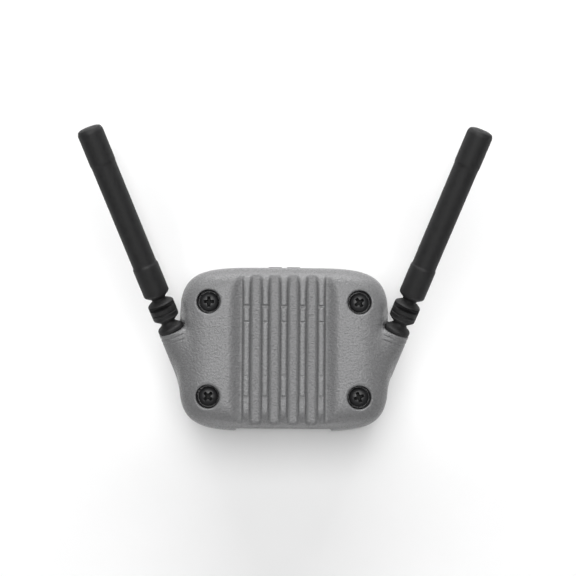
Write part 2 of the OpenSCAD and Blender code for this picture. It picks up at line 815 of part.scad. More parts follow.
rear_casing();
front_casing();
casing_gasket();
casing_screws();
screw_seals();
threaded_inserts();
main_board();
main_board_screws();
radio_module();
radio_shield();
processor_chips();
capacitors();
audio_transformer();
board_link();
audio_board();
audio_board_screws();
amplifier_chips();
thermal_pad();
heat_spreader();
audio_jack();
audio_jack_contacts();
audio_jack_nut();
power_inlet();
power_inlet_pin();
power_inlet_nut();
socket_seals();
status_window();
light_pipes();
status_leds();
volume_switches();
key_frame();
key_switches();
key_board();
key_board_screws();
service_port();
mirrored() antenna_socket();  // left_antenna_socket
antenna_socket();  // right_antenna_socket
mirrored() antenna_lead();  // left_antenna_lead
antenna_lead();  // right_antenna_lead
mirrored() antenna_base();  // left_antenna_base
antenna_base();  // right_antenna_base
mirrored() antenna_plug();  // left_antenna_plug
antenna_plug();  // right_antenna_plug
mirrored() antenna_knuckle();  // left_antenna_knuckle
antenna_knuckle();  // right_antenna_knuckle
mirrored() antenna_sleeve();  // left_antenna_sleeve
antenna_sleeve();  // right_antenna_sleeve
mirrored() antenna_core();  // left_antenna_core
antenna_core();  // right_antenna_core
power_key();
pair_key();
volume_up_key();
volume_down_key();
port_cover();
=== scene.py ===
# Looks for the wireless receiver unit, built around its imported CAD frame.
# Shapes are worked out in millimetres and written to Blender in metres.
import json
import math

import bpy
import numpy as np
from mathutils import Matrix, Vector


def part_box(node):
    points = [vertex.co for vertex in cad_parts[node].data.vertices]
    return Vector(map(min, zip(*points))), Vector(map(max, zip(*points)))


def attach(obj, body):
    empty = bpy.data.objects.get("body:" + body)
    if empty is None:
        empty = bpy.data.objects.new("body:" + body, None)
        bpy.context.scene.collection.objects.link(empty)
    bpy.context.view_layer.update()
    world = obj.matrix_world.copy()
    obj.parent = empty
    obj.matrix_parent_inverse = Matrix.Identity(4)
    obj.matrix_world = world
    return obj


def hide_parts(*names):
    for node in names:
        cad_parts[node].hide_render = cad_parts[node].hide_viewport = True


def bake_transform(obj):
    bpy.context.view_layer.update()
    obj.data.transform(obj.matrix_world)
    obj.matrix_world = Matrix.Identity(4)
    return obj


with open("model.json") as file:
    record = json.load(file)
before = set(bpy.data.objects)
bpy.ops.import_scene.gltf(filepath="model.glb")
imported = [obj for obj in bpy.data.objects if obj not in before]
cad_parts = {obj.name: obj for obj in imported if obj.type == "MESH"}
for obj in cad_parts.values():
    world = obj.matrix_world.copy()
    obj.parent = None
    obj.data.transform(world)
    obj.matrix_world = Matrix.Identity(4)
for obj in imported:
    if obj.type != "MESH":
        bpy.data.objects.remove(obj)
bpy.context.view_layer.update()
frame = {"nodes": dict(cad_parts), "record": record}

MM = 0.001


# ---------- sizes taken from the frame

def box_mm(node):
    """Lowest and highest corner of a CAD node, in millimetres."""
    low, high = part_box(node)
    return np.array(low) / MM, np.array(high) / MM


FRONT_HIGH = box_mm("front_casing")[1]
REAR_HIGH = box_mm("rear_casing")[1]
SEAL_LOW, SEAL_HIGH = box_mm("screw_seals")
JOINTS = {joint["name"]: joint for joint in frame["record"]["behaviour"]["joints"]}

# Casing: a superellipse outline, a curved crown over the back and a flatter front face.
HALF_W = FRONT_HIGH[0]
HALF_H = FRONT_HIGH[1]
PART_Z = FRONT_HIGH[2]
BACK_Z = REAR_HIGH[2]
WALL = 3.2
DRAFT = 0.8
INSET = DRAFT + WALL
OUTLINE_POWER = 5
CROWN_POWER = 2.5
CROWN_H = 13.0
CROWN_FLAT = 0.6
FACE_H = 9.0
FACE_FLAT = 0.8
ROOF_Z = BACK_Z - 6
ROOF_H = 7.0
RIM_EDGE = 0.45
HOLE_EDGE = 0.15
FAR = 60

# Screws in their wells, and the posts that they go through.
HEAD_R = 4.65
HEAD_H = 3.7
SCREW_R = 2.5
SCREW_TIP_Z = 10.0
WELL_R = 5.8
POST_R = WELL_R + 2.8
SCREW_X = SEAL_HIGH[0] - HEAD_R
SCREW_Y = SEAL_HIGH[1] - HEAD_R
SEAT_Z = SEAL_LOW[2]
SEAL_H = SEAL_HIGH[2] - SEAL_LOW[2]
CROSS_TURNS = (0, 35, 45, 20)
CROSS_HALF_LEN = 2.75
CROSS_HALF_W = 0.72
CROSS_DEPTH = 2.6
FRONT_POST_R = 6.5
INSERT_HOLE_R = 3.55
INSERT_FLOOR_Z = 6.8

# Ribs across the back, with a wider channel on each side.
RIB_COUNT = 5
RIB_PITCH = 9.05
RIB_TOP = 2.4
RIB_FOOT = 4.3
RIB_H = 2.9
RIB_FIELD_HALF = (RIB_COUNT - 1) / 2 * RIB_PITCH + RIB_FOOT / 2
TROUGH_W = 52.4
TROUGH_FLOOR_W = 42.3
CHANNEL_FILLET = 1.3

# Rib tops: (depth, low y, high y, edge) of two notches and a soft dip, and a step at the socket end.
RIB_NOTCHES = ((0.9, 20.1, 21.6, 0.5), (0.5, 12.9, 13.8, 0.4), (0.22, -14.3, -12.4, 1.0))
RIB_STEP = 0.5
RIB_STEP_Y = -22.4

# Antennas and their bosses. Heights along an antenna start at its boss end.
BOSS_R = 6.55
BOSS_LEN = 30.0
BOSS_LINES = ((-2.5, -1.7), (-4.6, -3.8))
LINE_DEPTH = 0.28
BULGE_R = 9.5
BULGE_LEN = 20.0
SOCKET_R = 4.05
SOCKET_LEN = 12.0
LEAD_HOLE_R = 2.0
SHAFT_R = 6.4
SHAFT_CLEAR = 0.7
SCOOP_R = 8.4
SCOOP_AT = 8.0
SCOOP_FLARE = 0.12
LOW_NECK = 5.0
NECK_R = 3.5
BLOCK_R = SHAFT_R + 0.1
KNUCKLE_MARKS = ((0.6, 9.8, 10.6), (0.3, 7.6, 9.2))
SLOT = (12.6, 14.7)
SLOT_FLOOR = 1.6
FOOT_BEND = (3.2, 5.3)
SLEEVE_BEND = (16.8, 19.3)
SLEEVE_LEN = 106.5
WAIST_R = SHAFT_R - 0.45
TIP_R = SHAFT_R - 0.2
LATHE_SIDES = 96

# Outlines of the antenna's turned pieces, as (radius, height) corners.
FOOT_LINE = [(0, 0.05), (SHAFT_R - 0.35, 0.05), (SHAFT_R, 0.45), (SHAFT_R, 1.9), (SHAFT_R - 0.6, 2.6),
             (NECK_R + 1.0, 3.4), (NECK_R, 4.5), (NECK_R, 5.7), (0, 5.7)]
BLOCK_LINE = [(0, 5.2), (NECK_R + 0.15, 5.2), (BLOCK_R - 0.5, 7.0), (BLOCK_R, 7.6),
              (BLOCK_R, 15.0), (BLOCK_R - 0.6, 15.6), (NECK_R + 0.3, 16.9), (0, 16.9)]
SLEEVE_LINE = [(0, 16.4), (NECK_R, 16.4), (NECK_R, 17.8), (NECK_R + 0.5, 18.3), (SHAFT_R - 0.5, 19.6),
               (SHAFT_R, 20.4), (SHAFT_R, 34.8), (WAIST_R, 35.7), (WAIST_R, SLEEVE_LEN - 18.9),
               (TIP_R, SLEEVE_LEN - 17.7), (TIP_R, SLEEVE_LEN - 2.6), (TIP_R - 0.7, SLEEVE_LEN - 0.9),
               (TIP_R - 2.5, SLEEVE_LEN - 0.25), (0, SLEEVE_LEN)]

# Socket bay on one edge and key strip on the other.
SOCKET_X = 11.0
SOCKET_Z = 24.5
JACK_HOLE_R = 4.8
INLET_HOLE_R = 4.65
NUT_R = 6.8
NUT_H = 1.1
BAY_W = 46.0
BAY_Y = -HALF_H + 2.05
BAY_LOW_Z = 9.0
BAY_SLANT = 0.5
PANEL_Y = BAY_Y + 1.4
PANEL_W = 42.0
PANEL_LOW_Z = 17.2
PANEL_HIGH_Z = 32.0
PANEL_BACK_Y = -(HALF_H - 5.4)
FRAME_W = 20.0
FRAME_H = 8.0
FRAME_GAP = 0.2
FRAME_Y = HALF_H - 1.3
FRAME_T = 0.85
KEY_X = 4.6
KEY_GAP = 0.25
TOP_CAP = (6.8, 4.2)
TOP_FLANGE = (8.2, 5.6)
SWITCH_CUT = (18.4, 6.6)
KEY_SCREW_X = 14.0
KEY_SCREW_HOLE_R = 1.25
KEY_SCREW_END = HALF_H - 4.3
KEY_BOARD_OUT = HALF_H - 10.1 + 1.6

# Boards inside: (x, y) of their screws, and the standoffs that hold them.
AUDIO_HOLES = [(24, 24), (-24, 24), (24, -14), (-24, -14)]
AUDIO_TOP = 33.6
AUDIO_HOLE_TOP = AUDIO_TOP + 4.8
MAIN_HOLES = [(38, 0), (-38, 0), (0, 32), (0, -32)]
MAIN_POST_TOP = 11.4
MAIN_HOLE_FLOOR = 5
STANDOFF_R = 3.3
BOARD_SCREW_HOLE_R = 1.55

# Service port, its cover and the cover's pocket.
PORT_LOW, PORT_HIGH = box_mm("service_port")
COVER_LOW, COVER_HIGH = box_mm("port_cover")
PORT_Y = (PORT_LOW[1] + PORT_HIGH[1]) / 2
COVER_T = 1.3
COVER_LOW_X = COVER_HIGH[0] - COVER_T
POCKET_HALF_W = 3.5
MOUTH_HALF_W = 1.9
MOUTH_HALF_H = 4.8

# Front face: gasket groove, status window and volume keys.
GASKET_OUT = 2.3
GASKET_W = 0.9
GASKET_H = 1.2
WINDOW = (56, 16)
WINDOW_GAP = 0.2
WINDOW_LOW, WINDOW_HIGH = box_mm("status_window")
WINDOW_Y = (WINDOW_LOW[1] + WINDOW_HIGH[1]) / 2
LED_XS = (-20, -10, 0, 10, 20)
LIGHT_HOLE_R = 1.6
VOLUME_CAP = (13, 8)
VOLUME_FLANGE = (15.4, 10.4)
VOLUME_LOW, VOLUME_HIGH = box_mm("volume_up_key")
VOLUME_X = (VOLUME_LOW[0] + VOLUME_HIGH[0]) / 2
VOLUME_Y = (VOLUME_LOW[1] + VOLUME_HIGH[1]) / 2

# Camera and lights: places and sizes in metres, and each light's name, place, size and power in watts.
CAMERA_AT = (0.002, 0.008, 0.600)
CAMERA_AIM = (0.00185, 0.0305, 0.027)
LENS = 71.7
LIGHT_AIM = (0, 0, 0.02)
LIGHTS = (
    ("key", (-0.08, 0.70, 2.85), (2.8, 2.8), 79),
    ("glint", (-0.02, 0.08, 1.6), (0.16, 0.16), 4),
    ("back", (0.0, 2.4, 0.75), (2.4, 0.8), 68),
    ("front", (0.0, -2.4, 0.24), (2.4, 0.4), 22),
)


# ---------- fields: negative inside, in mm

def soft_min(a, b, k):
    """The smaller of two fields, with the corner between them rounded over about k."""
    h = np.clip(0.5 + 0.5 * (b - a) / k, 0, 1)
    return b * (1 - h) + a * h - k * h * (1 - h)


def soft_max(a, b, k):
    """The larger of two fields, with the corner between them rounded over about k."""
    return -soft_min(-a, -b, k)


def cut(solid, tool, k):
    """The solid with the tool taken away, and an edge about k wide rounded over."""
    return soft_max(solid, -tool, k)


def pillow(x, y, rise, a, b, height, flat):
    """Rounded block: a superellipse outline whose shoulder curves over as rise goes from 0 to height."""
    sx = np.abs(x) / a
    sy = np.abs(y) / b
    n = OUTLINE_POWER
    rho = (sx ** n + sy ** n) ** (1 / n)
    rho = np.maximum(rho, 1e-4)
    u = np.maximum((rho - flat) / (1 - flat), 0)
    v = np.maximum(rise / height, 0)
    m = CROWN_POWER
    level = np.maximum((u ** m + v ** m) ** (1 / m), 1e-4)
    slope_xy = rho ** (1 - n) * np.sqrt((sx ** (n - 1) / a) ** 2 + (sy ** (n - 1) / b) ** 2)
    du = (u / level) ** (m - 1) / (1 - flat) * slope_xy
    dv = (v / level) ** (m - 1) / height
    slope = np.maximum(np.sqrt(du ** 2 + dv ** 2), 0.2 / np.maximum(a, b))
    return (level - 1) / slope


def box_field(x, y, z, low, high, r=0.0):
    """Box from low to high with corners rounded by r."""
    centre = (np.array(low) + np.array(high)) / 2
    half = (np.array(high) - np.array(low)) / 2 - r
    qx = np.abs(x - centre[0]) - half[0]
    qy = np.abs(y - centre[1]) - half[1]
    qz = np.abs(z - centre[2]) - half[2]
    outer = np.sqrt(np.maximum(qx, 0) ** 2 + np.maximum(qy, 0) ** 2 + np.maximum(qz, 0) ** 2)
    return outer + np.minimum(np.maximum(np.maximum(qx, qy), qz), 0) - r


def slab(u, v, half_u, half_v, r):
    """Endless bar with a rounded rectangular section."""
    qu = np.abs(u) - half_u + r
    qv = np.abs(v) - half_v + r
    outer = np.sqrt(np.maximum(qu, 0) ** 2 + np.maximum(qv, 0) ** 2)
    return outer + np.minimum(np.maximum(qu, qv), 0) - r


def rod(u, v, r):
    """Endless round bar."""
    return np.sqrt(u ** 2 + v ** 2) - r


def antenna_frame(side):
    """Boss end and direction of one antenna, in mm, from its two joints."""
    low = np.array(JOINTS[side + "_antenna_sway"]["pos_m"]) / MM
    high = np.array(JOINTS[side + "_antenna_nod"]["pos_m"]) / MM
    along = (high - low) / np.linalg.norm(high - low)
    return low - LOW_NECK * along, along


BOSS, ALONG = antenna_frame("right")


def antenna_coordinates(x, y, z):
    """Height along the nearer antenna from its boss end, and distance from its axis."""
    px = np.abs(x) - BOSS[0]
    py = y - BOSS[1]
    pz = z - BOSS[2]
    s = px * ALONG[0] + py * ALONG[1] + pz * ALONG[2]
    r = np.sqrt(np.maximum(px ** 2 + py ** 2 + pz ** 2 - s ** 2, 0))
    return s, r


def antenna_offsets(x, y, z):
    """Sideways and upward distances from the nearer antenna's axis."""
    px = np.abs(x) - BOSS[0]
    py = y - BOSS[1]
    flat = math.hypot(ALONG[0], ALONG[1])
    aside = (px * ALONG[1] - py * ALONG[0]) / flat
    up = flat * (z - BOSS[2]) - (ALONG[0] * px + ALONG[1] * py) * ALONG[2] / flat
    return aside, up


def screw_distance(x, y):
    """Distance from the nearest screw axis."""
    return np.sqrt((np.abs(x) - SCREW_X) ** 2 + (np.abs(y) - SCREW_Y) ** 2)


def holes_at(x, y, places):
    """Distance from the nearest of these axes."""
    return np.min([np.sqrt((x - p[0]) ** 2 + (y - p[1]) ** 2) for p in places], axis=0)


def channels(x, z):
    """The channels between the ribs and the sloping channel on each side of the field."""
    low = BACK_Z - RIB_H
    lean = (RIB_FOOT - RIB_TOP) / 2 / RIB_H
    side = abs(x)
    floor_half = (RIB_PITCH - RIB_FOOT) / 2
    centres = [RIB_PITCH * (i + 0.5) for i in range((RIB_COUNT - 1) // 2)]
    near = np.min([np.abs(side - c) for c in centres], axis=0)
    wall = (near - floor_half - lean * (z - low)) / math.hypot(1, lean)
    inner = soft_max(wall, low - z, CHANNEL_FILLET)
    rib_side = (RIB_FIELD_HALF - side - lean * (z - low)) / math.hypot(1, lean)
    slope = (TROUGH_W - TROUGH_FLOOR_W) / 2 / RIB_H
    far_side = (side - TROUGH_FLOOR_W / 2 - slope * (z - low)) / math.hypot(1, slope)
    outer = soft_max(soft_max(rib_side, far_side, 0.8), low - z, CHANNEL_FILLET)
    return np.minimum(inner, outer)


def ramp(y, at, width):
    """0 below at, 1 above it, with a smooth change."""
    t = np.clip((y - at) / width + 0.5, 0, 1)
    return t * t * (3 - 2 * t)


def band(y, low, high, edge):
    """1 between low and high and 0 outside them, with smooth edges."""
    return ramp(y, low, edge) * (1 - ramp(y, high, edge))


def rib_top_drop(y):
    """How far the rib tops lie below the back: two notches, a soft dip and a step."""
    notches = sum(depth * band(y, low, high, edge) for depth, low, high, edge in RIB_NOTCHES)
    return notches + RIB_STEP * (1 - ramp(y, RIB_STEP_Y, 0.7))


def rear_solid(x, y, z):
    """Outside of the rear casing with its two bosses, which grow smoothly out of its shoulders."""
    drawn = 1 - DRAFT / HALF_W * np.clip((z - PART_Z) / (BACK_Z - CROWN_H - PART_Z), 0, 1)
    shell = pillow(x, y, z - (BACK_Z - CROWN_H), HALF_W * drawn, HALF_H * drawn, CROWN_H, CROWN_FLAT)
    s, r = antenna_coordinates(x, y, z)
    boss = np.maximum(np.maximum(r - BOSS_R, s - 1), -BOSS_LEN - s)
    # The boss melts into the crown over a longer way than into the wall.
    blend = 2.5 + 5 * np.clip((z - 33) / 6, 0, 1)
    lines = sum(band(s, low, high, 0.4) for low, high in BOSS_LINES)
    near_boss = 1 - ramp(r, BOSS_R + 2.2, 1.6)
    return soft_min(shell, boss, blend) + LINE_DEPTH * lines * near_boss


def scoop(x, y, z):
    """Room for an antenna's foot and knuckle, flaring towards the back, and the distance from its axis."""
    s, r = antenna_coordinates(x, y, z)
    aside, up = antenna_offsets(x, y, z)
    reach = SHAFT_R + SHAFT_CLEAR
    flared = (np.abs(aside) - reach - SCOOP_FLARE * up) / math.hypot(1, SCOOP_FLARE)
    trench = np.where(up > 0, flared, r - reach)
    ball = np.sqrt(r ** 2 + (s - SCOOP_AT) ** 2) - SCOOP_R
    # The corner at the boss end is crisp close to the axis and soft further out.
    rounding = 0.1 + 4 * np.clip((r - 6.8) / 2, 0, 1)
    return soft_max(soft_min(trench, ball, 1.0), -s, rounding), r


def rear_outside(x, y, z):
    """The rear casing's outside with its scoops, channels, stepped rib tops and screw wells."""
    solid = rear_solid(x, y, z)
    hollow, r = scoop(x, y, z)
    edge = 0.5 + 3.3 * np.clip((r - 7) / 2, 0, 1)
    solid = cut(solid, hollow, edge)
    solid = cut(solid, channels(x, z), 0.9)
    tops = soft_max(np.abs(x) - RIB_FIELD_HALF, BACK_Z - rib_top_drop(y) - z, 0.2)
    solid = cut(solid, tops, 0.25)
    well = soft_max(screw_distance(x, y) - WELL_R, SEAT_Z - z, 0.5)
    return cut(solid, well, 1.2)


def bay(x, y, z):
    """Recess that holds both sockets, with slanting ends."""
    end = (np.abs(x) - BAY_W / 2 - BAY_SLANT * (BAY_Y - y)) / math.hypot(1, BAY_SLANT)
    return soft_max(soft_max(end, y - BAY_Y, 0.6), BAY_LOW_Z - z, 0.6)


def socket_panel(x, y, z):
    """The deeper recess in the bay, with the sockets in its floor."""
    half = PANEL_W / 2
    return box_field(x, y, z, (-half, -FAR, PANEL_LOW_Z), (half, PANEL_Y, PANEL_HIGH_Z), 0.3)


def rear_cavity(x, y, z):
    """The hollow inside the rear casing, round its posts, bosses and standoffs."""
    room = pillow(x, y, z - (ROOF_Z - ROOF_H), HALF_W - INSET, HALF_H - INSET, ROOF_H, CROWN_FLAT)
    room = soft_max(room, POST_R - screw_distance(x, y), 0.8)
    s, r = antenna_coordinates(x, y, z)
    room = soft_max(room, -np.maximum(r - BULGE_R, -BULGE_LEN - s), 0.8)
    audio_posts = np.maximum(holes_at(x, y, AUDIO_HOLES) - STANDOFF_R, AUDIO_TOP - z)
    room = soft_max(room, -audio_posts, 0.4)
    half = PANEL_W / 2 + 2
    backing = box_field(x, y, z, (-half, -FAR, 0), (half, PANEL_BACK_Y, PANEL_HIGH_Z + 2))
    room = soft_max(room, -backing, 0.4)
    key_posts = np.maximum(rod(np.abs(x) - KEY_SCREW_X, z - SOCKET_Z, STANDOFF_R), KEY_BOARD_OUT - y)
    return soft_max(room, -key_posts, 0.4)


def rear_casing_field(x, y, z):
    """The rear casing: its outside less the bay, the hollow and every hole. Each cut has its edge's size."""
    s, r = antenna_coordinates(x, y, z)
    up = z - SOCKET_Z
    audio_screws = holes_at(x, y, AUDIO_HOLES) - BOARD_SCREW_HOLE_R
    key_screws = rod(np.abs(x) - KEY_SCREW_X, up, KEY_SCREW_HOLE_R)
    frame_seat = slab(x, up, FRAME_W / 2 + FRAME_GAP, FRAME_H / 2 + FRAME_GAP, 1.2)
    switch_opening = slab(x, up, SWITCH_CUT[0] / 2, SWITCH_CUT[1] / 2, 0.8)
    pocket = box_field(x, y, z, (COVER_LOW_X - 0.1, PORT_Y - POCKET_HALF_W, COVER_LOW[2] - 0.8),
                       (FAR, PORT_Y + POCKET_HALF_W, COVER_HIGH[2] + 0.3), 0.3)
    mouth = box_field(x, y, z, (40, PORT_Y - MOUTH_HALF_W, SOCKET_Z - MOUTH_HALF_H),
                      (FAR, PORT_Y + MOUTH_HALF_W, SOCKET_Z + MOUTH_HALF_H))
    cuts = [
        (bay(x, y, z), 0.5),
        (socket_panel(x, y, z), 0.3),
        (rear_cavity(x, y, z), 0.3),
        (np.maximum(r - SOCKET_R, -SOCKET_LEN - s), HOLE_EDGE),
        (np.maximum(r - LEAD_HOLE_R, -BOSS_LEN - s), HOLE_EDGE),
        (screw_distance(x, y) - SCREW_R - 0.25, HOLE_EDGE),
        (np.maximum(rod(x + SOCKET_X, up, JACK_HOLE_R), y), HOLE_EDGE),
        (np.maximum(rod(x - SOCKET_X, up, INLET_HOLE_R), y), HOLE_EDGE),
        (np.maximum(frame_seat, FRAME_Y - y), 0.3),
        (np.maximum(switch_opening, 20 - y), HOLE_EDGE),
        (np.maximum(np.maximum(key_screws, y - KEY_SCREW_END), 20 - y), HOLE_EDGE),
        (np.maximum(np.maximum(audio_screws, z - AUDIO_HOLE_TOP), 30 - z), HOLE_EDGE),
        (pocket, 0.3),
        (mouth, HOLE_EDGE),
    ]
    solid = soft_max(rear_outside(x, y, z), PART_Z - z, RIM_EDGE)
    for tool, edge in cuts:
        solid = cut(solid, tool, edge)
    return solid


def ring_groove(x, y, z):
    """Groove in the front casing's rim that the gasket lies in."""
    n = OUTLINE_POWER
    a = HALF_W - GASKET_OUT - GASKET_W / 2
    b = HALF_H - GASKET_OUT - GASKET_W / 2
    rho = ((np.abs(x) / a) ** n + (np.abs(y) / b) ** n) ** (1 / n)
    return np.maximum(np.abs((rho - 1) * b) - GASKET_W / 2, PART_Z - GASKET_H - z)


def front_hollow(x, y, z):
    """The hollow inside the front casing, round its screw posts and the main board's standoffs."""
    room = pillow(x, y, FACE_H + 1 - z, HALF_W - INSET, HALF_H - INSET, FACE_H - WALL + 1, FACE_FLAT)
    room = soft_max(room, FRONT_POST_R - screw_distance(x, y), 0.6)
    standoffs = np.maximum(holes_at(x, y, MAIN_HOLES) - STANDOFF_R, z - MAIN_POST_TOP)
    return soft_max(room, -standoffs, 0.4)


def front_casing_field(x, y, z):
    """The front casing: a shallow block less its hollow and every hole. Each cut has its edge's size."""
    main_screws = holes_at(x, y, MAIN_HOLES) - BOARD_SCREW_HOLE_R
    window = slab(x, y - WINDOW_Y, WINDOW[0] / 2 + WINDOW_GAP, WINDOW[1] / 2 + WINDOW_GAP, 3.0)
    lights = np.min([rod(x - led, y - WINDOW_Y, LIGHT_HOLE_R) for led in LED_XS], axis=0)
    keys = slab(np.abs(x) - VOLUME_X, y - VOLUME_Y, VOLUME_CAP[0] / 2 + KEY_GAP, VOLUME_CAP[1] / 2 + KEY_GAP,
                3.0)
    cuts = [
        (bay(x, y, z), 0.5),
        (front_hollow(x, y, z), 0.3),
        (np.maximum(screw_distance(x, y) - INSERT_HOLE_R, INSERT_FLOOR_Z - z), HOLE_EDGE),
        (np.maximum(main_screws, MAIN_HOLE_FLOOR - z), HOLE_EDGE),
        (ring_groove(x, y, z), 0.1),
        (np.maximum(window, z - WINDOW_HIGH[2]), 0.2),
        (lights, HOLE_EDGE),
        (keys, 0.3),
    ]
    solid = pillow(x, y, FACE_H - z, HALF_W, HALF_H, FACE_H, FACE_FLAT)
    solid = soft_max(solid, z - PART_Z, RIM_EDGE)
    for tool, edge in cuts:
        solid = cut(solid, tool, edge)
    return solid


# ---------- meshes from fields

def steps(*parts):
    """Grid lines: each part is (start, end, pitch), and neighbouring parts share an end."""
    lines = [np.linspace(a, b, max(2, round((b - a) / pitch) + 1)) for a, b, pitch in parts]
    return np.unique(np.round(np.concatenate(lines), 6))


def mirrored_steps(*parts):
    """Grid lines on both sides of 0."""
    half = steps(*parts)
    return np.unique(np.concatenate([-half, half]))


def sample(field, xs, ys, zs):
    """The field at every grid point, a few planes at a time to save memory."""
    values = np.empty((len(xs), len(ys), len(zs)), np.float32)
    y, z = np.meshgrid(ys, zs, indexing="ij")
    chunk = 16
    for i in range(0, len(xs), chunk):
        x = xs[i:i + chunk][:, None, None]
        values[i:i + chunk] = field(x, y[None], z[None])
    return values


def gradient(field, p, h=0.01):
    """The field's slope at each point, from points h away on both sides."""
    g = np.empty_like(p)
    for axis in range(3):
        d = np.zeros(3)
        d[axis] = h
        above = p + d
        below = p - d
        g[:, axis] = (field(*above.T) - field(*below.T)) / (2 * h)
    return g


CORNERS = [(i, j, k) for i in (0, 1) for j in (0, 1) for k in (0, 1)]
EDGES = [(a, b) for a in range(8) for b in range(a + 1, 8)
         if sum(abs(CORNERS[a][n] - CORNERS[b][n]) for n in range(3)) == 1]


def first_points(values, corners):
    """The mean place where the surface crosses each cell's edges, from the cell's eight corners."""
    total = np.zeros((len(values), 3))
    hits = np.zeros(len(values))
    for a, b in EDGES:
        va = values[:, a]
        vb = values[:, b]
        crossing = (va < 0) != (vb < 0)
        t = np.where(crossing, va / np.where(crossing, va - vb, 1), 0)
        at = corners[:, a] + t[:, None] * (corners[:, b] - corners[:, a])
        total += np.where(crossing[:, None], at, 0)
        hits += crossing
    return total / hits[:, None]


def moved_onto(field, points, low, high):
    """The points moved onto the surface, each kept close to its own cell, and the normals there."""
    slack = 0.3 * (high - low)
    for _ in range(3):
        g = gradient(field, points)
        length = np.maximum((g ** 2).sum(1), 1e-3)
        move = -(field(*points.T) / length)[:, None] * g
        points = np.clip(points + move, low - slack, high + slack)
    g = gradient(field, points)
    return points, g / np.maximum(np.linalg.norm(g, axis=1), 1e-9)[:, None]


def quads_round(inside, index, axis):
    """A quad round each grid edge along this axis that the surface crosses, facing outwards."""
    first = [slice(None)] * 3
    second = [slice(None)] * 3
    first[axis] = slice(0, -1)
    second[axis] = slice(1, None)
    e = np.stack(np.nonzero(inside[tuple(first)] != inside[tuple(second)]), 1)
    u = (axis + 1) % 3
    v = (axis + 2) % 3
    size = inside.shape
    e = e[(e[:, u] > 0) & (e[:, v] > 0) & (e[:, u] < size[u] - 1) & (e[:, v] < size[v] - 1)]
    ring = []
    for du, dv in ((-1, -1), (0, -1), (0, 0), (-1, 0)):
        cell = e.copy()
        cell[:, u] += du
        cell[:, v] += dv
        ring.append(index[cell[:, 0], cell[:, 1], cell[:, 2]])
    ring = np.stack(ring, 1)
    outward = inside[e[:, 0], e[:, 1], e[:, 2]]
    return np.where(outward[:, None], ring, ring[:, ::-1])


def net(field, xs, ys, zs):
    """Vertices, normals and quads of the field's zero surface: one vertex a cell, moved onto the surface."""
    values = sample(field, xs, ys, zs)
    inside = values < 0
    nx, ny, nz = values.shape
    count = sum(inside[i:nx - 1 + i, j:ny - 1 + j, k:nz - 1 + k].astype(np.int8) for i, j, k in CORNERS)
    ci, cj, ck = np.nonzero((count > 0) & (count < 8))
    index = np.full((nx - 1, ny - 1, nz - 1), -1, np.int64)
    index[ci, cj, ck] = np.arange(len(ci))
    corner_values = np.stack([values[ci + i, cj + j, ck + k] for i, j, k in CORNERS], 1)
    corners = np.stack([np.stack([xs[ci + i], ys[cj + j], zs[ck + k]], 1) for i, j, k in CORNERS], 1)
    start = first_points(corner_values, corners)
    points, normals = moved_onto(field, start, corners[:, 0], corners[:, 7])
    return points, normals, np.concatenate([quads_round(inside, index, axis) for axis in range(3)])


def object_from(name, points, faces, normals=None, sharp_deg=None):
    """A smooth mesh object from points in mm. Faces is an array of equal rows or a list of lists."""
    mesh = bpy.data.meshes.new(name)
    loops = [len(f) for f in faces]
    mesh.vertices.add(len(points))
    mesh.vertices.foreach_set("co", (np.asarray(points) * MM).astype(np.float32).ravel())
    mesh.loops.add(sum(loops))
    mesh.loops.foreach_set("vertex_index", np.concatenate([np.asarray(f) for f in faces]).astype(np.int32))
    mesh.polygons.add(len(loops))
    starts = np.concatenate([[0], np.cumsum(loops)[:-1]]).astype(np.int32)
    mesh.polygons.foreach_set("loop_start", starts)
    mesh.polygons.foreach_set("use_smooth", np.full(len(loops), True))
    mesh.update(calc_edges=True)
    mesh.validate()
    if sharp_deg is not None:
        mesh.set_sharp_from_angle(angle=math.radians(sharp_deg))
    if normals is not None:
        mesh.normals_split_custom_set_from_vertices(normals.tolist())
    thing = bpy.data.objects.new(name, mesh)
    bpy.context.scene.collection.objects.link(thing)
    return thing


def turned(points, matrix):
    """The points moved by a 4 by 4 matrix."""
    m = np.array(matrix)
    return points @ m[:3, :3].T + m[:3, 3]


def net_object(name, field, grid, move=Matrix(), spin=Matrix()):
    """The field's surface as an object. Its points get the whole move and its normals only the spin."""
    points, normals, quads = net(field, *grid)
    return object_from(name, turned(points, move @ spin), quads, turned(normals, spin))


def dress(thing, slot, *nodes):
    """The piece stands for these CAD nodes and wears one of the record's material slots."""
    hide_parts(*nodes)
    thing.data.materials.append(MATERIALS[slot])
    return thing


def place(thing, body, slot, *nodes):
    """The piece rides on a body, stands for these CAD nodes and wears a material slot."""
    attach(thing, body)
    return dress(thing, slot, *nodes)


# ---------- turned and plate shapes

def soften(corners, radius, steps_round=4):
    """A line of (r, s) corners with each inner corner rounded by about radius."""
    corners = [np.array(c, float) for c in corners]
    line = [corners[0]]
    for before, corner, after in zip(corners, corners[1:], corners[2:]):
        back = before - corner
        on = after - corner
        lb = np.linalg.norm(back)
        lo = np.linalg.norm(on)
        reach = min(radius, 0.48 * lb, 0.48 * lo)
        start = corner + back / lb * reach
        end = corner + on / lo * reach
        for i in range(steps_round + 1):
            t = i / steps_round
            line.append((1 - t) ** 2 * start + 2 * t * (1 - t) * corner + t ** 2 * end)
    line.append(corners[-1])
    return line


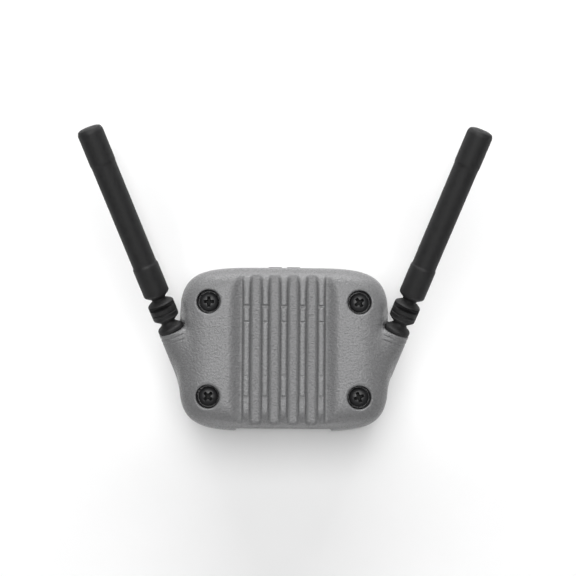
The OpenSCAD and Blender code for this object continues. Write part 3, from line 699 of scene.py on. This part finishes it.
def lathe(line, sides):
    """Points and faces of a line of (r, s) turned about local Z. It starts and ends on the axis."""
    turn = [2 * math.pi * i / sides for i in range(sides)]
    points = [(0, 0, line[0][1])]
    for r, s in line[1:-1]:
        points += [(r * math.cos(t), r * math.sin(t), s) for t in turn]
    points.append((0, 0, line[-1][1]))
    rings = len(line) - 2
    last = len(points) - 1
    faces = [[0, 1 + (i + 1) % sides, 1 + i] for i in range(sides)]
    for k in range(rings - 1):
        a = 1 + k * sides
        b = a + sides
        faces += [[a + i, a + (i + 1) % sides, b + (i + 1) % sides, b + i] for i in range(sides)]
    a = 1 + (rings - 1) * sides
    faces += [[a + i, a + (i + 1) % sides, last] for i in range(sides)]
    return np.array(points, float), faces


def rounded_outline(w, h, r, arc=8):
    """Points round a w by h rectangle with corners of radius r."""
    line = []
    for cx, cy, start in ((1, 1, 0), (-1, 1, 90), (-1, -1, 180), (1, -1, 270)):
        for i in range(arc + 1):
            t = math.radians(start + 90 * i / arc)
            line.append((cx * (w / 2 - r) + r * math.cos(t), cy * (h / 2 - r) + r * math.sin(t)))
    return np.array(line)


def stack(outlines):
    """Closed solid through outlines, each (points in the plane, height)."""
    n = len(outlines[0][0])
    points = [(p[0], p[1], z) for line, z in outlines for p in line]
    faces = [list(range(n))[::-1]]
    for k in range(len(outlines) - 1):
        faces += [[k * n + i, k * n + (i + 1) % n, (k + 1) * n + (i + 1) % n, (k + 1) * n + i]
                  for i in range(n)]
    faces.append([(len(outlines) - 1) * n + i for i in range(n)])
    return np.array(points, float), faces


def merge(parts):
    """One list of points and faces from several."""
    points = []
    faces = []
    start = 0
    for p, f in parts:
        points.append(p)
        faces += [[start + i for i in face] for face in f]
        start += len(p)
    return np.concatenate(points), faces


def antenna_matrix(side):
    """From antenna coordinates (Z along it, from its boss end) to the frame, in mm."""
    at, along = antenna_frame(side)
    z = Vector(along)
    x = Vector((0, 0, 1)).cross(z).normalized()
    y = z.cross(x)
    return Matrix(((x[0], y[0], z[0], at[0]), (x[1], y[1], z[1], at[1]), (x[2], y[2], z[2], at[2]),
                   (0, 0, 0, 1)))


# ---------- materials

def graph(name):
    """A new material, its node tree, its Principled shader and the place on the piece in mm."""
    made = bpy.data.materials.new(name)
    made.use_nodes = True
    tree = made.node_tree
    tree.nodes.clear()
    out = tree.nodes.new("ShaderNodeOutputMaterial")
    shader = tree.nodes.new("ShaderNodeBsdfPrincipled")
    tree.links.new(shader.outputs[0], out.inputs[0])
    coordinates = tree.nodes.new("ShaderNodeTexCoord")
    scale = tree.nodes.new("ShaderNodeMapping")
    scale.inputs["Scale"].default_value = (1 / MM, 1 / MM, 1 / MM)
    tree.links.new(coordinates.outputs["Object"], scale.inputs["Vector"])
    return made, tree, shader, scale.outputs[0]


def axes_of(tree, where):
    """The X, Y and Z of a place."""
    parts = tree.nodes.new("ShaderNodeSeparateXYZ")
    tree.links.new(where, parts.inputs[0])
    return parts.outputs


def arithmetic(tree, operation, *values):
    """One step of arithmetic on numbers and other nodes' outputs."""
    node = tree.nodes.new("ShaderNodeMath")
    node.operation = operation
    for value, socket in zip(values, node.inputs):
        if isinstance(value, float):
            socket.default_value = value
        else:
            tree.links.new(value, socket)
    return node.outputs[0]


def noise(tree, where, size, detail=3.0, rough=0.55, stretch=None):
    """Cloudy pattern whose features are about size mm across."""
    node = tree.nodes.new("ShaderNodeTexNoise")
    node.inputs["Scale"].default_value = 1 / size
    node.inputs["Detail"].default_value = detail
    node.inputs["Roughness"].default_value = rough
    if stretch:
        mapping = tree.nodes.new("ShaderNodeMapping")
        mapping.inputs["Scale"].default_value = stretch
        tree.links.new(where, mapping.inputs["Vector"])
        where = mapping.outputs[0]
    tree.links.new(where, node.inputs["Vector"])
    return node.outputs[0]


def spread(tree, value, low, high, from_low=0.3, from_high=0.7):
    """Stretch a value so that from_low gives low and from_high gives high, and stop there."""
    node = tree.nodes.new("ShaderNodeMapRange")
    node.inputs["From Min"].default_value = from_low
    node.inputs["From Max"].default_value = from_high
    node.inputs["To Min"].default_value = low
    node.inputs["To Max"].default_value = high
    tree.links.new(value, node.inputs["Value"])
    return node.outputs[0]


def mix_colours(tree, share, one, two):
    """Colour one at share 0 and two at share 1. Each is three numbers or another node's output."""
    mix = tree.nodes.new("ShaderNodeMix")
    mix.data_type = "RGBA"
    tree.links.new(share, mix.inputs["Factor"])
    for socket, colour in (("A", one), ("B", two)):
        if isinstance(colour, tuple):
            mix.inputs[socket].default_value = (*colour, 1)
        else:
            tree.links.new(colour, mix.inputs[socket])
    return mix.outputs["Result"]


def relief(tree, heights):
    """Bumps from (value, depth in mm) pairs, one on top of the other."""
    normal = None
    for value, depth in heights:
        node = tree.nodes.new("ShaderNodeBump")
        node.inputs["Strength"].default_value = 1.0
        node.inputs["Distance"].default_value = depth * MM
        tree.links.new(value, node.inputs["Height"])
        if normal is not None:
            tree.links.new(normal, node.inputs["Normal"])
        normal = node.outputs[0]
    return normal


def finish(name, one, two, rough, patch, bumps, metallic=0.0, specular=0.5, coat=0.0, stretch=None):
    """A material: two colours and a roughness range mixed by patches, and bumps as (size, depth) in mm."""
    made, tree, shader, where = graph(name)
    patches = noise(tree, where, patch, stretch=stretch)
    share = spread(tree, patches, 0, 1)
    tree.links.new(mix_colours(tree, share, one, two), shader.inputs["Base Color"])
    tree.links.new(spread(tree, patches, *rough), shader.inputs["Roughness"])
    heights = [(noise(tree, where, size, stretch=stretch), depth) for size, depth in bumps]
    tree.links.new(relief(tree, heights), shader.inputs["Normal"])
    shader.inputs["Metallic"].default_value = metallic
    shader.inputs["Specular IOR Level"].default_value = specular
    shader.inputs["Coat Weight"].default_value = coat
    return made


def near_screws(tree, where, low, high):
    """Mask for the painted shade in the screw wells: 0 inside the wells and 1 outside and below them,
    changing between these distances.
    """
    parts = axes_of(tree, where)
    gap = tree.nodes.new("ShaderNodeCombineXYZ")
    for axis, centre in (("X", SCREW_X), ("Y", SCREW_Y)):
        off = arithmetic(tree, "SUBTRACT", arithmetic(tree, "ABSOLUTE", parts[axis]), centre)
        tree.links.new(off, gap.inputs[axis])
    below = spread(tree, parts["Z"], 2 * high, 0, SEAT_Z - 2, SEAT_Z - 1)
    tree.links.new(below, gap.inputs["Z"])
    length = tree.nodes.new("ShaderNodeVectorMath")
    length.operation = "LENGTH"
    tree.links.new(gap.outputs[0], length.inputs[0])
    return spread(tree, length.outputs["Value"], 0, 1, low, high)


def casing_paint():
    """Satin grey paint with orange-peel bumps. The peel is speckled with painted shade and painted glints, a
    painted highlight lightens the highest parts of the back, and painted shade turns the screw wells nearly
    black.
    """
    made, tree, shader, where = graph("casing_paint")
    clouds = noise(tree, where, 14, 3)
    peel = noise(tree, where, 1.0, 2, 0.5)
    grain = noise(tree, where, 0.5, 2)
    share = spread(tree, clouds, 0, 1)
    # Painted shade and painted glints: the grey is darker in the peel's dips and lighter on its raised
    # spots. The cloudy patches are the paint's own tone.
    shaded_peel_dips = mix_colours(tree, share, (0.152, 0.1525, 0.155), (0.161, 0.1615, 0.164))
    tops = mix_colours(tree, share, (0.194, 0.1945, 0.197), (0.205, 0.2055, 0.208))
    paint = mix_colours(tree, spread(tree, peel, 0, 1), shaded_peel_dips, tops)
    # Painted highlight: the paint is up to 9% lighter on the highest parts of the back and 6% darker below
    # them.
    painted_back_highlight = tree.nodes.new("ShaderNodeVectorMath")
    painted_back_highlight.operation = "SCALE"
    tree.links.new(paint, painted_back_highlight.inputs[0])
    highlight_share = spread(tree, axes_of(tree, where)["Z"], 0.94, 1.09, BACK_Z - 1.5, BACK_Z - 0.1)
    tree.links.new(highlight_share, painted_back_highlight.inputs["Scale"])
    # Painted shade: inside the screw wells the paint gives way to near black.
    well_shade_black = mix_colours(tree, share, (0.010, 0.010, 0.011), (0.014, 0.014, 0.015))
    outside_well_shade = near_screws(tree, where, WELL_R - 0.15, WELL_R + 0.12)
    tree.links.new(mix_colours(tree, outside_well_shade, well_shade_black, painted_back_highlight.outputs[0]), shader.inputs["Base Color"])
    tree.links.new(spread(tree, grain, 0.25, 0.33), shader.inputs["Roughness"])
    tree.links.new(relief(tree, [(peel, 0.3), (grain, 0.04)]), shader.inputs["Normal"])
    shader.inputs["Specular IOR Level"].default_value = 0.35
    return made


def screw_steel():
    """Black oxide, dull, with painted shade darkening it down in the cross recesses."""
    made, tree, shader, where = graph("black_steel")
    patches = noise(tree, where, 1)
    top = SEAT_Z + SEAL_H + HEAD_H
    # Painted shade: the colour drops to near black down in the cross recesses.
    unshaded_share = spread(tree, axes_of(tree, where)["Z"], 0, 1, top - 1.9, top - 1.2)
    colour = mix_colours(tree, unshaded_share, (0.003, 0.003, 0.003), (0.021, 0.021, 0.022))
    tree.links.new(colour, shader.inputs["Base Color"])
    rough = arithmetic(tree, "MULTIPLY_ADD", unshaded_share, -0.4, spread(tree, patches, 0.74, 0.88))
    tree.links.new(rough, shader.inputs["Roughness"])
    tree.links.new(relief(tree, [(noise(tree, where, 0.5), 0.02)]), shader.inputs["Normal"])
    shader.inputs["Specular IOR Level"].default_value = 0.5
    return made


def light_pipe():
    """Clear acrylic, a little cloudy."""
    made = finish("light_pipe", (0.86, 0.9, 0.92), (0.92, 0.95, 0.96), (0.08, 0.2), 3, [(1, 0.005)])
    shader = next(n for n in made.node_tree.nodes if n.type == "BSDF_PRINCIPLED")
    shader.inputs["Transmission Weight"].default_value = 0.8
    return made


LOOKS = {
    "antenna_rubber": ((0.011, 0.011, 0.0115), (0.017, 0.017, 0.0175), (0.5, 0.7), 1.6,
                       [(0.35, 0.05), (2.2, 0.06)], {"specular": 0.35}),
    "seal_rubber": ((0.02, 0.02, 0.02), (0.03, 0.03, 0.03), (0.55, 0.75), 2, [(0.4, 0.02)], {}),
    "key_rubber": ((0.010, 0.010, 0.011), (0.016, 0.016, 0.017), (0.6, 0.75), 2, [(0.3, 0.015)],
                   {"specular": 0.25}),
    "steel": ((0.5, 0.5, 0.52), (0.6, 0.6, 0.6), (0.25, 0.4), 1.5, [(0.4, 0.008)], {"metallic": 1.0}),
    "nickel": ((0.55, 0.54, 0.5), (0.64, 0.62, 0.58), (0.18, 0.32), 2, [(0.5, 0.006)], {"metallic": 1.0}),
    "brass": ((0.6, 0.44, 0.18), (0.7, 0.53, 0.25), (0.2, 0.35), 1.5, [(0.4, 0.006)], {"metallic": 1.0}),
    "tin": ((0.58, 0.58, 0.6), (0.68, 0.68, 0.68), (0.25, 0.42), 2, [(1, 0.008)], {"metallic": 1.0}),
    "gold_contact": ((0.75, 0.55, 0.22), (0.85, 0.66, 0.3), (0.15, 0.3), 1, [(0.4, 0.004)],
                     {"metallic": 1.0}),
    "board_green": ((0.012, 0.09, 0.04), (0.02, 0.13, 0.06), (0.25, 0.4), 4, [(0.6, 0.01)], {"coat": 0.3}),
    "board_blue": ((0.01, 0.03, 0.1), (0.015, 0.045, 0.14), (0.25, 0.4), 4, [(0.6, 0.01)], {"coat": 0.3}),
    "chip_black": ((0.02, 0.02, 0.022), (0.03, 0.03, 0.03), (0.5, 0.65), 2, [(0.2, 0.01)], {}),
    "capacitor_sleeve": ((0.03, 0.03, 0.05), (0.045, 0.045, 0.07), (0.25, 0.4), 3, [(1, 0.01)], {}),
    "transformer_core": ((0.12, 0.08, 0.04), (0.18, 0.12, 0.07), (0.35, 0.55), 1.2, [(0.3, 0.03)],
                         {"stretch": (1, 1, 6)}),
    "ribbon": ((0.6, 0.57, 0.48), (0.68, 0.65, 0.56), (0.4, 0.55), 1.2, [(0.5, 0.02)],
               {"stretch": (1, 4, 0.2)}),
    "pad": ((0.28, 0.33, 0.42), (0.34, 0.39, 0.47), (0.6, 0.8), 2, [(0.5, 0.03)], {}),
    "aluminium": ((0.68, 0.69, 0.7), (0.76, 0.76, 0.77), (0.28, 0.42), 1, [(0.3, 0.01)],
                  {"metallic": 1.0, "stretch": (0.1, 3, 1)}),
    "black_plastic": ((0.02, 0.02, 0.021), (0.03, 0.03, 0.031), (0.4, 0.55), 2, [(0.35, 0.02)], {}),
    "smoked_window": ((0.012, 0.012, 0.015), (0.018, 0.018, 0.021), (0.05, 0.12), 9, [(4, 0.003)],
                      {"coat": 0.6}),
    "led": ((0.78, 0.76, 0.6), (0.86, 0.84, 0.7), (0.15, 0.3), 1, [(0.5, 0.005)], {}),
    "coax": ((0.04, 0.04, 0.045), (0.06, 0.06, 0.065), (0.4, 0.55), 2, [(0.4, 0.01)], {}),
}


def all_materials():
    """One material for each of the record's slots."""
    made = {name: finish(name, *look, **others) for name, (*look, others) in LOOKS.items()}
    made["casing_paint"] = casing_paint()
    made["black_steel"] = screw_steel()
    made["light_pipe"] = light_pipe()
    return made


MATERIALS = all_materials()


def dress_cad_nodes():
    """Every CAD node wears its record slot's material."""
    slots = {part["node"]: part["material_slot"] for part in frame["record"]["subparts"]}
    for node, thing in frame["nodes"].items():
        made = MATERIALS[slots[node]]
        for holder in thing.material_slots:
            holder.material = made
        if not thing.material_slots:
            thing.data.materials.append(made)


# ---------- pieces

UP = Matrix.Rotation(math.radians(-90), 4, "X")      # local Z to +Y
DOWN = Matrix.Rotation(math.radians(180), 4, "X")    # local Z to -Z
OUT = Matrix.Rotation(math.radians(90), 4, "X")      # local Z to -Y
ASIDE = Matrix.Rotation(math.radians(90), 4, "Y")    # local Z to +X


def rear_shell():
    """The rear casing, on a grid that is finest round the antenna feet and the back."""
    xs = mirrored_steps((0, 28, 0.35), (28, 49, 0.45), (49, 64, 0.4))
    ys = steps((-42, -24, 0.5), (-24, -10, 0.4), (-10, 11, 0.4), (11, 23, 0.25), (23, 42, 0.4))
    zs = steps((14.8, 26, 0.6), (26, 38, 0.4), (38, 45.2, 0.3))
    shell = net_object("rear_shell", rear_casing_field, (xs, ys, zs))
    return place(shell, "casing", "casing_paint", "rear_casing")


def front_shell():
    """The front casing, on a grid that is finest at its face and rim."""
    xs = mirrored_steps((0, 54, 0.6))
    ys = mirrored_steps((0, 42, 0.6))
    zs = steps((-1, 5, 0.4), (5, 13, 0.8), (13, 17, 0.4))
    shell = net_object("front_shell", front_casing_field, (xs, ys, zs))
    return place(shell, "casing", "casing_paint", "front_casing")


def head_field(x, y, z):
    """One pan head with its cross recess and shank, its seat at height 0."""
    r = np.sqrt(x ** 2 + y ** 2)
    drop = 1.55 * (r / HEAD_R) ** 3.2
    head = soft_max(soft_max(r - HEAD_R, z - HEAD_H + drop, 0.7), -z, 0.25)
    body = soft_min(head, np.maximum(r - SCREW_R + 0.05, z - 1), 0.1)
    depth = HEAD_H - z
    half_len = CROSS_HALF_LEN - 0.45 * depth
    half_wide = CROSS_HALF_W - 0.1 * depth
    arm_a = np.maximum(np.abs(x) - half_len, np.abs(y) - half_wide)
    arm_b = np.maximum(np.abs(y) - half_len, np.abs(x) - half_wide)
    cross = np.maximum(soft_min(arm_a, arm_b, 0.5), depth - CROSS_DEPTH)
    return cut(body, cross, 0.25)


def casing_screws():
    """Four screws from one mesh, each with its cross turned its own way."""
    seat = SEAT_Z + SEAL_H
    tail = SCREW_TIP_Z - seat
    lines = steps((-5, 5, 0.14))
    zs = steps((tail - 0.6, -0.8, 0.8), (-0.8, HEAD_H + 0.5, 0.14))

    def whole(x, y, z):
        return np.maximum(head_field(x, y, z), tail - z)

    points, normals, quads = net(whole, lines, lines, zs)
    places = [(side * SCREW_X, end * SCREW_Y) for end in (1, -1) for side in (-1, 1)]
    parts = []
    ways = []
    for (x, y), turn in zip(places, CROSS_TURNS):
        spin = Matrix.Rotation(math.radians(turn), 4, "Z")
        parts.append((turned(points, Matrix.Translation((x, y, seat)) @ spin), quads.tolist()))
        ways.append(turned(normals, spin))
    all_points, faces = merge(parts)
    thing = object_from("casing_screws_black", all_points, faces, np.concatenate(ways))
    return place(thing, "casing", "black_steel", "casing_screws")


def antenna_piece(name, line, side, shape=None):
    """A turned piece on the antenna's axis. Shape moves its points first."""
    points, faces = lathe(line, LATHE_SIDES)
    if shape:
        points = shape(points)
    return object_from(name, turned(points, antenna_matrix(side)), faces, sharp_deg=50)


def split_long(line, longest):
    """The same line with its long runs divided."""
    result = [line[0]]
    for a, b in zip(line, line[1:]):
        parts = max(1, round(np.linalg.norm(b - a) / longest))
        result += [a + (b - a) * (i + 1) / parts for i in range(parts)]
    return result


def knuckle_grooves(points):
    """A flat slot, a fine line and a faint step, all on the side of the block that faces the back."""
    points = points.copy()
    x, y, s = points.T
    r = np.maximum(np.hypot(x, y), 1e-6)
    facing = np.clip(y / r * 1.6, 0, 1)
    fine = sum(depth * band(s, low, high, 0.3) for depth, low, high in KNUCKLE_MARKS)
    scale = 1 - np.where(r > 5, fine * facing / r, 0)
    slot = band(s, *SLOT, 0.22)
    floor = BLOCK_R - (BLOCK_R - SLOT_FLOOR) * slot
    points[:, 0] = x * scale
    points[:, 1] = np.minimum(y * scale, floor)
    return points


def antenna(side):
    """Foot, knuckle and sleeve of one antenna."""
    at, along = antenna_frame(side)
    foot = antenna_piece(side + "_antenna_foot", split_long(soften(FOOT_LINE, 0.5), 0.4), side)
    start, end = [(at + height * along) * MM for height in FOOT_BEND]
    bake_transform(foot)
    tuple(start)
    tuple(end)
    dress(foot, "antenna_rubber", side + "_antenna_base")

    block_line = split_long(soften(BLOCK_LINE, 0.5), 0.1)
    block = antenna_piece(side + "_antenna_block", block_line, side, knuckle_grooves)
    place(block, side + "_knuckle", "antenna_rubber", side + "_antenna_knuckle")

    sleeve_line = split_long(soften(SLEEVE_LINE, 0.6), 2.5)
    sleeve = antenna_piece(side + "_antenna_rubber_sleeve", sleeve_line, side)
    start, end = [(at + height * along) * MM for height in SLEEVE_BEND]
    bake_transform(sleeve)
    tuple(start)
    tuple(end)
    dress(sleeve, "antenna_rubber", side + "_antenna_sleeve")


def bevelled(w, h, r, low, high, edge):
    """Plate from low to high with its top edge rounded by edge."""
    rings = [(rounded_outline(w, h, r), low)]
    for i in range(5):
        t = math.radians(90 * i / 4)
        shrink = edge * (1 - math.cos(t))
        rings.append((rounded_outline(w - 2 * shrink, h - 2 * shrink, max(r - shrink, 0.05)),
                      high - edge + edge * math.sin(t)))
    return stack(rings)


def plain_plate(w, h, r, low, high):
    """Plate with square edges and round corners."""
    return stack([(rounded_outline(w, h, r), low), (rounded_outline(w, h, r), high)])


def post(r, low, high, sides=32):
    """Round pin."""
    turn = [2 * math.pi * i / sides for i in range(sides)]
    line = np.array([(r * math.cos(t), r * math.sin(t)) for t in turn])
    return stack([(line, low), (line, high)])


def piece(name, parts, matrix, body, slot, *nodes):
    """One object made of several closed solids."""
    points, faces = merge(parts)
    thing = object_from(name, turned(points, matrix), faces, sharp_deg=40)
    return place(thing, body, slot, *nodes)


def top_keys():
    """The two keys on the edge between the antennas: a cap, a hidden flange and a pin each."""
    for name in ("power_key", "pair_key"):
        low, high = box_mm(name)
        at = Matrix.Translation(((low[0] + high[0]) / 2, 0, SOCKET_Z)) @ UP
        flange = low[1] + 1.9
        piece(name + "_cap", [bevelled(*TOP_CAP, 0.9, flange + 0.1, high[1], 0.35),
                              plain_plate(*TOP_FLANGE, 0.9, flange, flange + 0.9),
                              post(1, low[1], flange + 0.3)], at, name, "key_rubber", name)


def volume_keys():
    """The two keys on the front face: a cap, a hidden flange and a pin each."""
    for name, side in (("volume_up_key", 1), ("volume_down_key", -1)):
        low, high = box_mm(name)
        at = Matrix.Translation((side * VOLUME_X, VOLUME_Y, 0)) @ DOWN
        flange = WALL + 0.1
        piece(name + "_cap", [bevelled(*VOLUME_CAP, 2.75, -flange - 0.4, -low[2], 0.6),
                              plain_plate(*VOLUME_FLANGE, 3, -flange - 0.9, -flange),
                              post(1.5, -high[2], -4)], at, name, "key_rubber", name)


def status_window():
    """The smoked window in the front face."""
    at = Matrix.Translation((0, WINDOW_Y, 0)) @ DOWN
    piece("status_lens", [bevelled(*WINDOW, 2.8, -WINDOW_HIGH[2], -WINDOW_LOW[2], 0.25)], at, "casing",
          "smoked_window", "status_window")


def port_flap():
    """The service port's cover, with a plug on its inside."""
    size = COVER_HIGH - COVER_LOW
    at = Matrix.Translation((COVER_LOW_X, PORT_Y, SOCKET_Z)) @ ASIDE
    piece("port_flap", [bevelled(size[2], size[1], 1, 0, COVER_T, 0.35),
                        plain_plate(7.2, 2.2, 1, -1.6, 0.1)], at, "port_cover", "key_rubber", "port_cover")


def key_surround_field(x, y, z):
    """The frame round both top keys, its underside at height 0."""
    body = slab(x, y, FRAME_W / 2, FRAME_H / 2, 1.0)
    body = soft_max(soft_max(body, z - FRAME_T, 0.3), -z, 0.1)
    keys = slab(np.abs(x) - KEY_X, y, TOP_CAP[0] / 2 + KEY_GAP, TOP_CAP[1] / 2 + KEY_GAP, 1.0)
    return cut(body, keys, 0.25)


def key_surround():
    """The frame in its seat between the antennas."""
    grid = (mirrored_steps((0, 10.6, 0.14)), mirrored_steps((0, 4.6, 0.14)), steps((-0.3, 1.6, 0.12)))
    move = Matrix.Translation((0, FRAME_Y, SOCKET_Z))
    thing = net_object("key_surround", key_surround_field, grid, move, UP)
    return place(thing, "casing", "black_plastic", "key_frame")


def nut_field(x, y, z, bore):
    """A thin hexagon nut with a chamfered top, its underside at height 0."""
    r = np.sqrt(x ** 2 + y ** 2)
    flat_r = NUT_R * math.cos(math.radians(30))
    hexagon = np.max([np.abs(x * math.cos(t) + y * math.sin(t))
                      for t in (math.radians(30), math.radians(90), math.radians(150))], axis=0) - flat_r
    chamfer = (r + (z - 0.75) * 1.2 - flat_r - 0.45) / math.hypot(1, 1.2)
    body = soft_max(np.maximum(hexagon, chamfer), z - NUT_H, 0.1)
    body = np.maximum(body, -z)
    return cut(body, r - bore, 0.12)


def socket_nuts():
    """The nuts of both sockets, on the panel in the bay."""
    lines = steps((-7.2, 7.2, 0.15))
    grid = (lines, lines, steps((-0.3, 1.4, 0.1)))
    nuts = (("audio_jack_nut", -SOCKET_X, JACK_HOLE_R), ("power_inlet_nut", SOCKET_X, INLET_HOLE_R))
    for name, x, bore in nuts:

        def field(px, py, pz, bore=bore):
            return nut_field(px, py, pz, bore)

        move = Matrix.Translation((x, PANEL_Y, SOCKET_Z))
        thing = net_object(name + "_bright", field, grid, move, OUT)
        place(thing, "casing", "nickel", name)


# ---------- floor, light and camera

def white_floor():
    """A wide matt floor."""
    bpy.ops.mesh.primitive_plane_add(size=8, location=(0, 0, 0))
    floor = bpy.context.object
    floor.name = "floor"
    made, tree, shader, where = graph("floor_white")
    share = spread(tree, noise(tree, where, 60), 0, 1)
    base = mix_colours(tree, share, (0.9, 0.9, 0.9), (0.92, 0.92, 0.92))
    tree.links.new(base, shader.inputs["Base Color"])
    shader.inputs["Roughness"].default_value = 0.9
    shader.inputs["Specular IOR Level"].default_value = 0.1
    floor.data.materials.append(made)


def sky():
    """Faint light from all round, strongest at the horizon."""
    world = bpy.data.worlds.new("studio")
    bpy.context.scene.world = world
    world.use_nodes = True
    tree = world.node_tree
    direction = tree.nodes.new("ShaderNodeTexCoord")
    height = axes_of(tree, direction.outputs["Generated"])["Z"]
    strength = spread(tree, height, 1.2, 0.14, 0.0, 0.55)
    tree.links.new(strength, tree.nodes["Background"].inputs["Strength"])


def area_light(name, at, size, power):
    """A rectangular light that faces the unit."""
    light = bpy.data.lights.new(name, "AREA")
    light.shape = "RECTANGLE"
    light.size = size[0]
    light.size_y = size[1]
    light.energy = power
    lamp = bpy.data.objects.new(name, light)
    bpy.context.scene.collection.objects.link(lamp)
    lamp.location = at
    lamp.rotation_euler = (Vector(LIGHT_AIM) - Vector(at)).to_track_quat("-Z", "Y").to_euler()


def photo_camera():
    """The camera, almost straight above the back, with plain display colours."""
    lens = bpy.data.cameras.new("camera")
    camera = bpy.data.objects.new("camera", lens)
    bpy.context.scene.collection.objects.link(camera)
    lens.lens = LENS
    lens.sensor_width = 36
    lens.clip_start = 0.05
    lens.clip_end = 20
    camera.location = CAMERA_AT
    aim = Vector(CAMERA_AIM) - camera.location
    camera.rotation_mode = "QUATERNION"
    camera.rotation_quaternion = aim.to_track_quat("-Z", "Y")
    bpy.context.scene.camera = camera
    view = bpy.context.scene.view_settings
    view.view_transform = "Standard"
    view.look = "None"
    view.exposure = 0.0


dress_cad_nodes()
rear_shell()
front_shell()
casing_screws()
antenna("left")
antenna("right")
top_keys()
volume_keys()
status_window()
port_flap()
key_surround()
socket_nuts()
white_floor()
sky()
for light in LIGHTS:
    area_light(*light)
photo_camera()
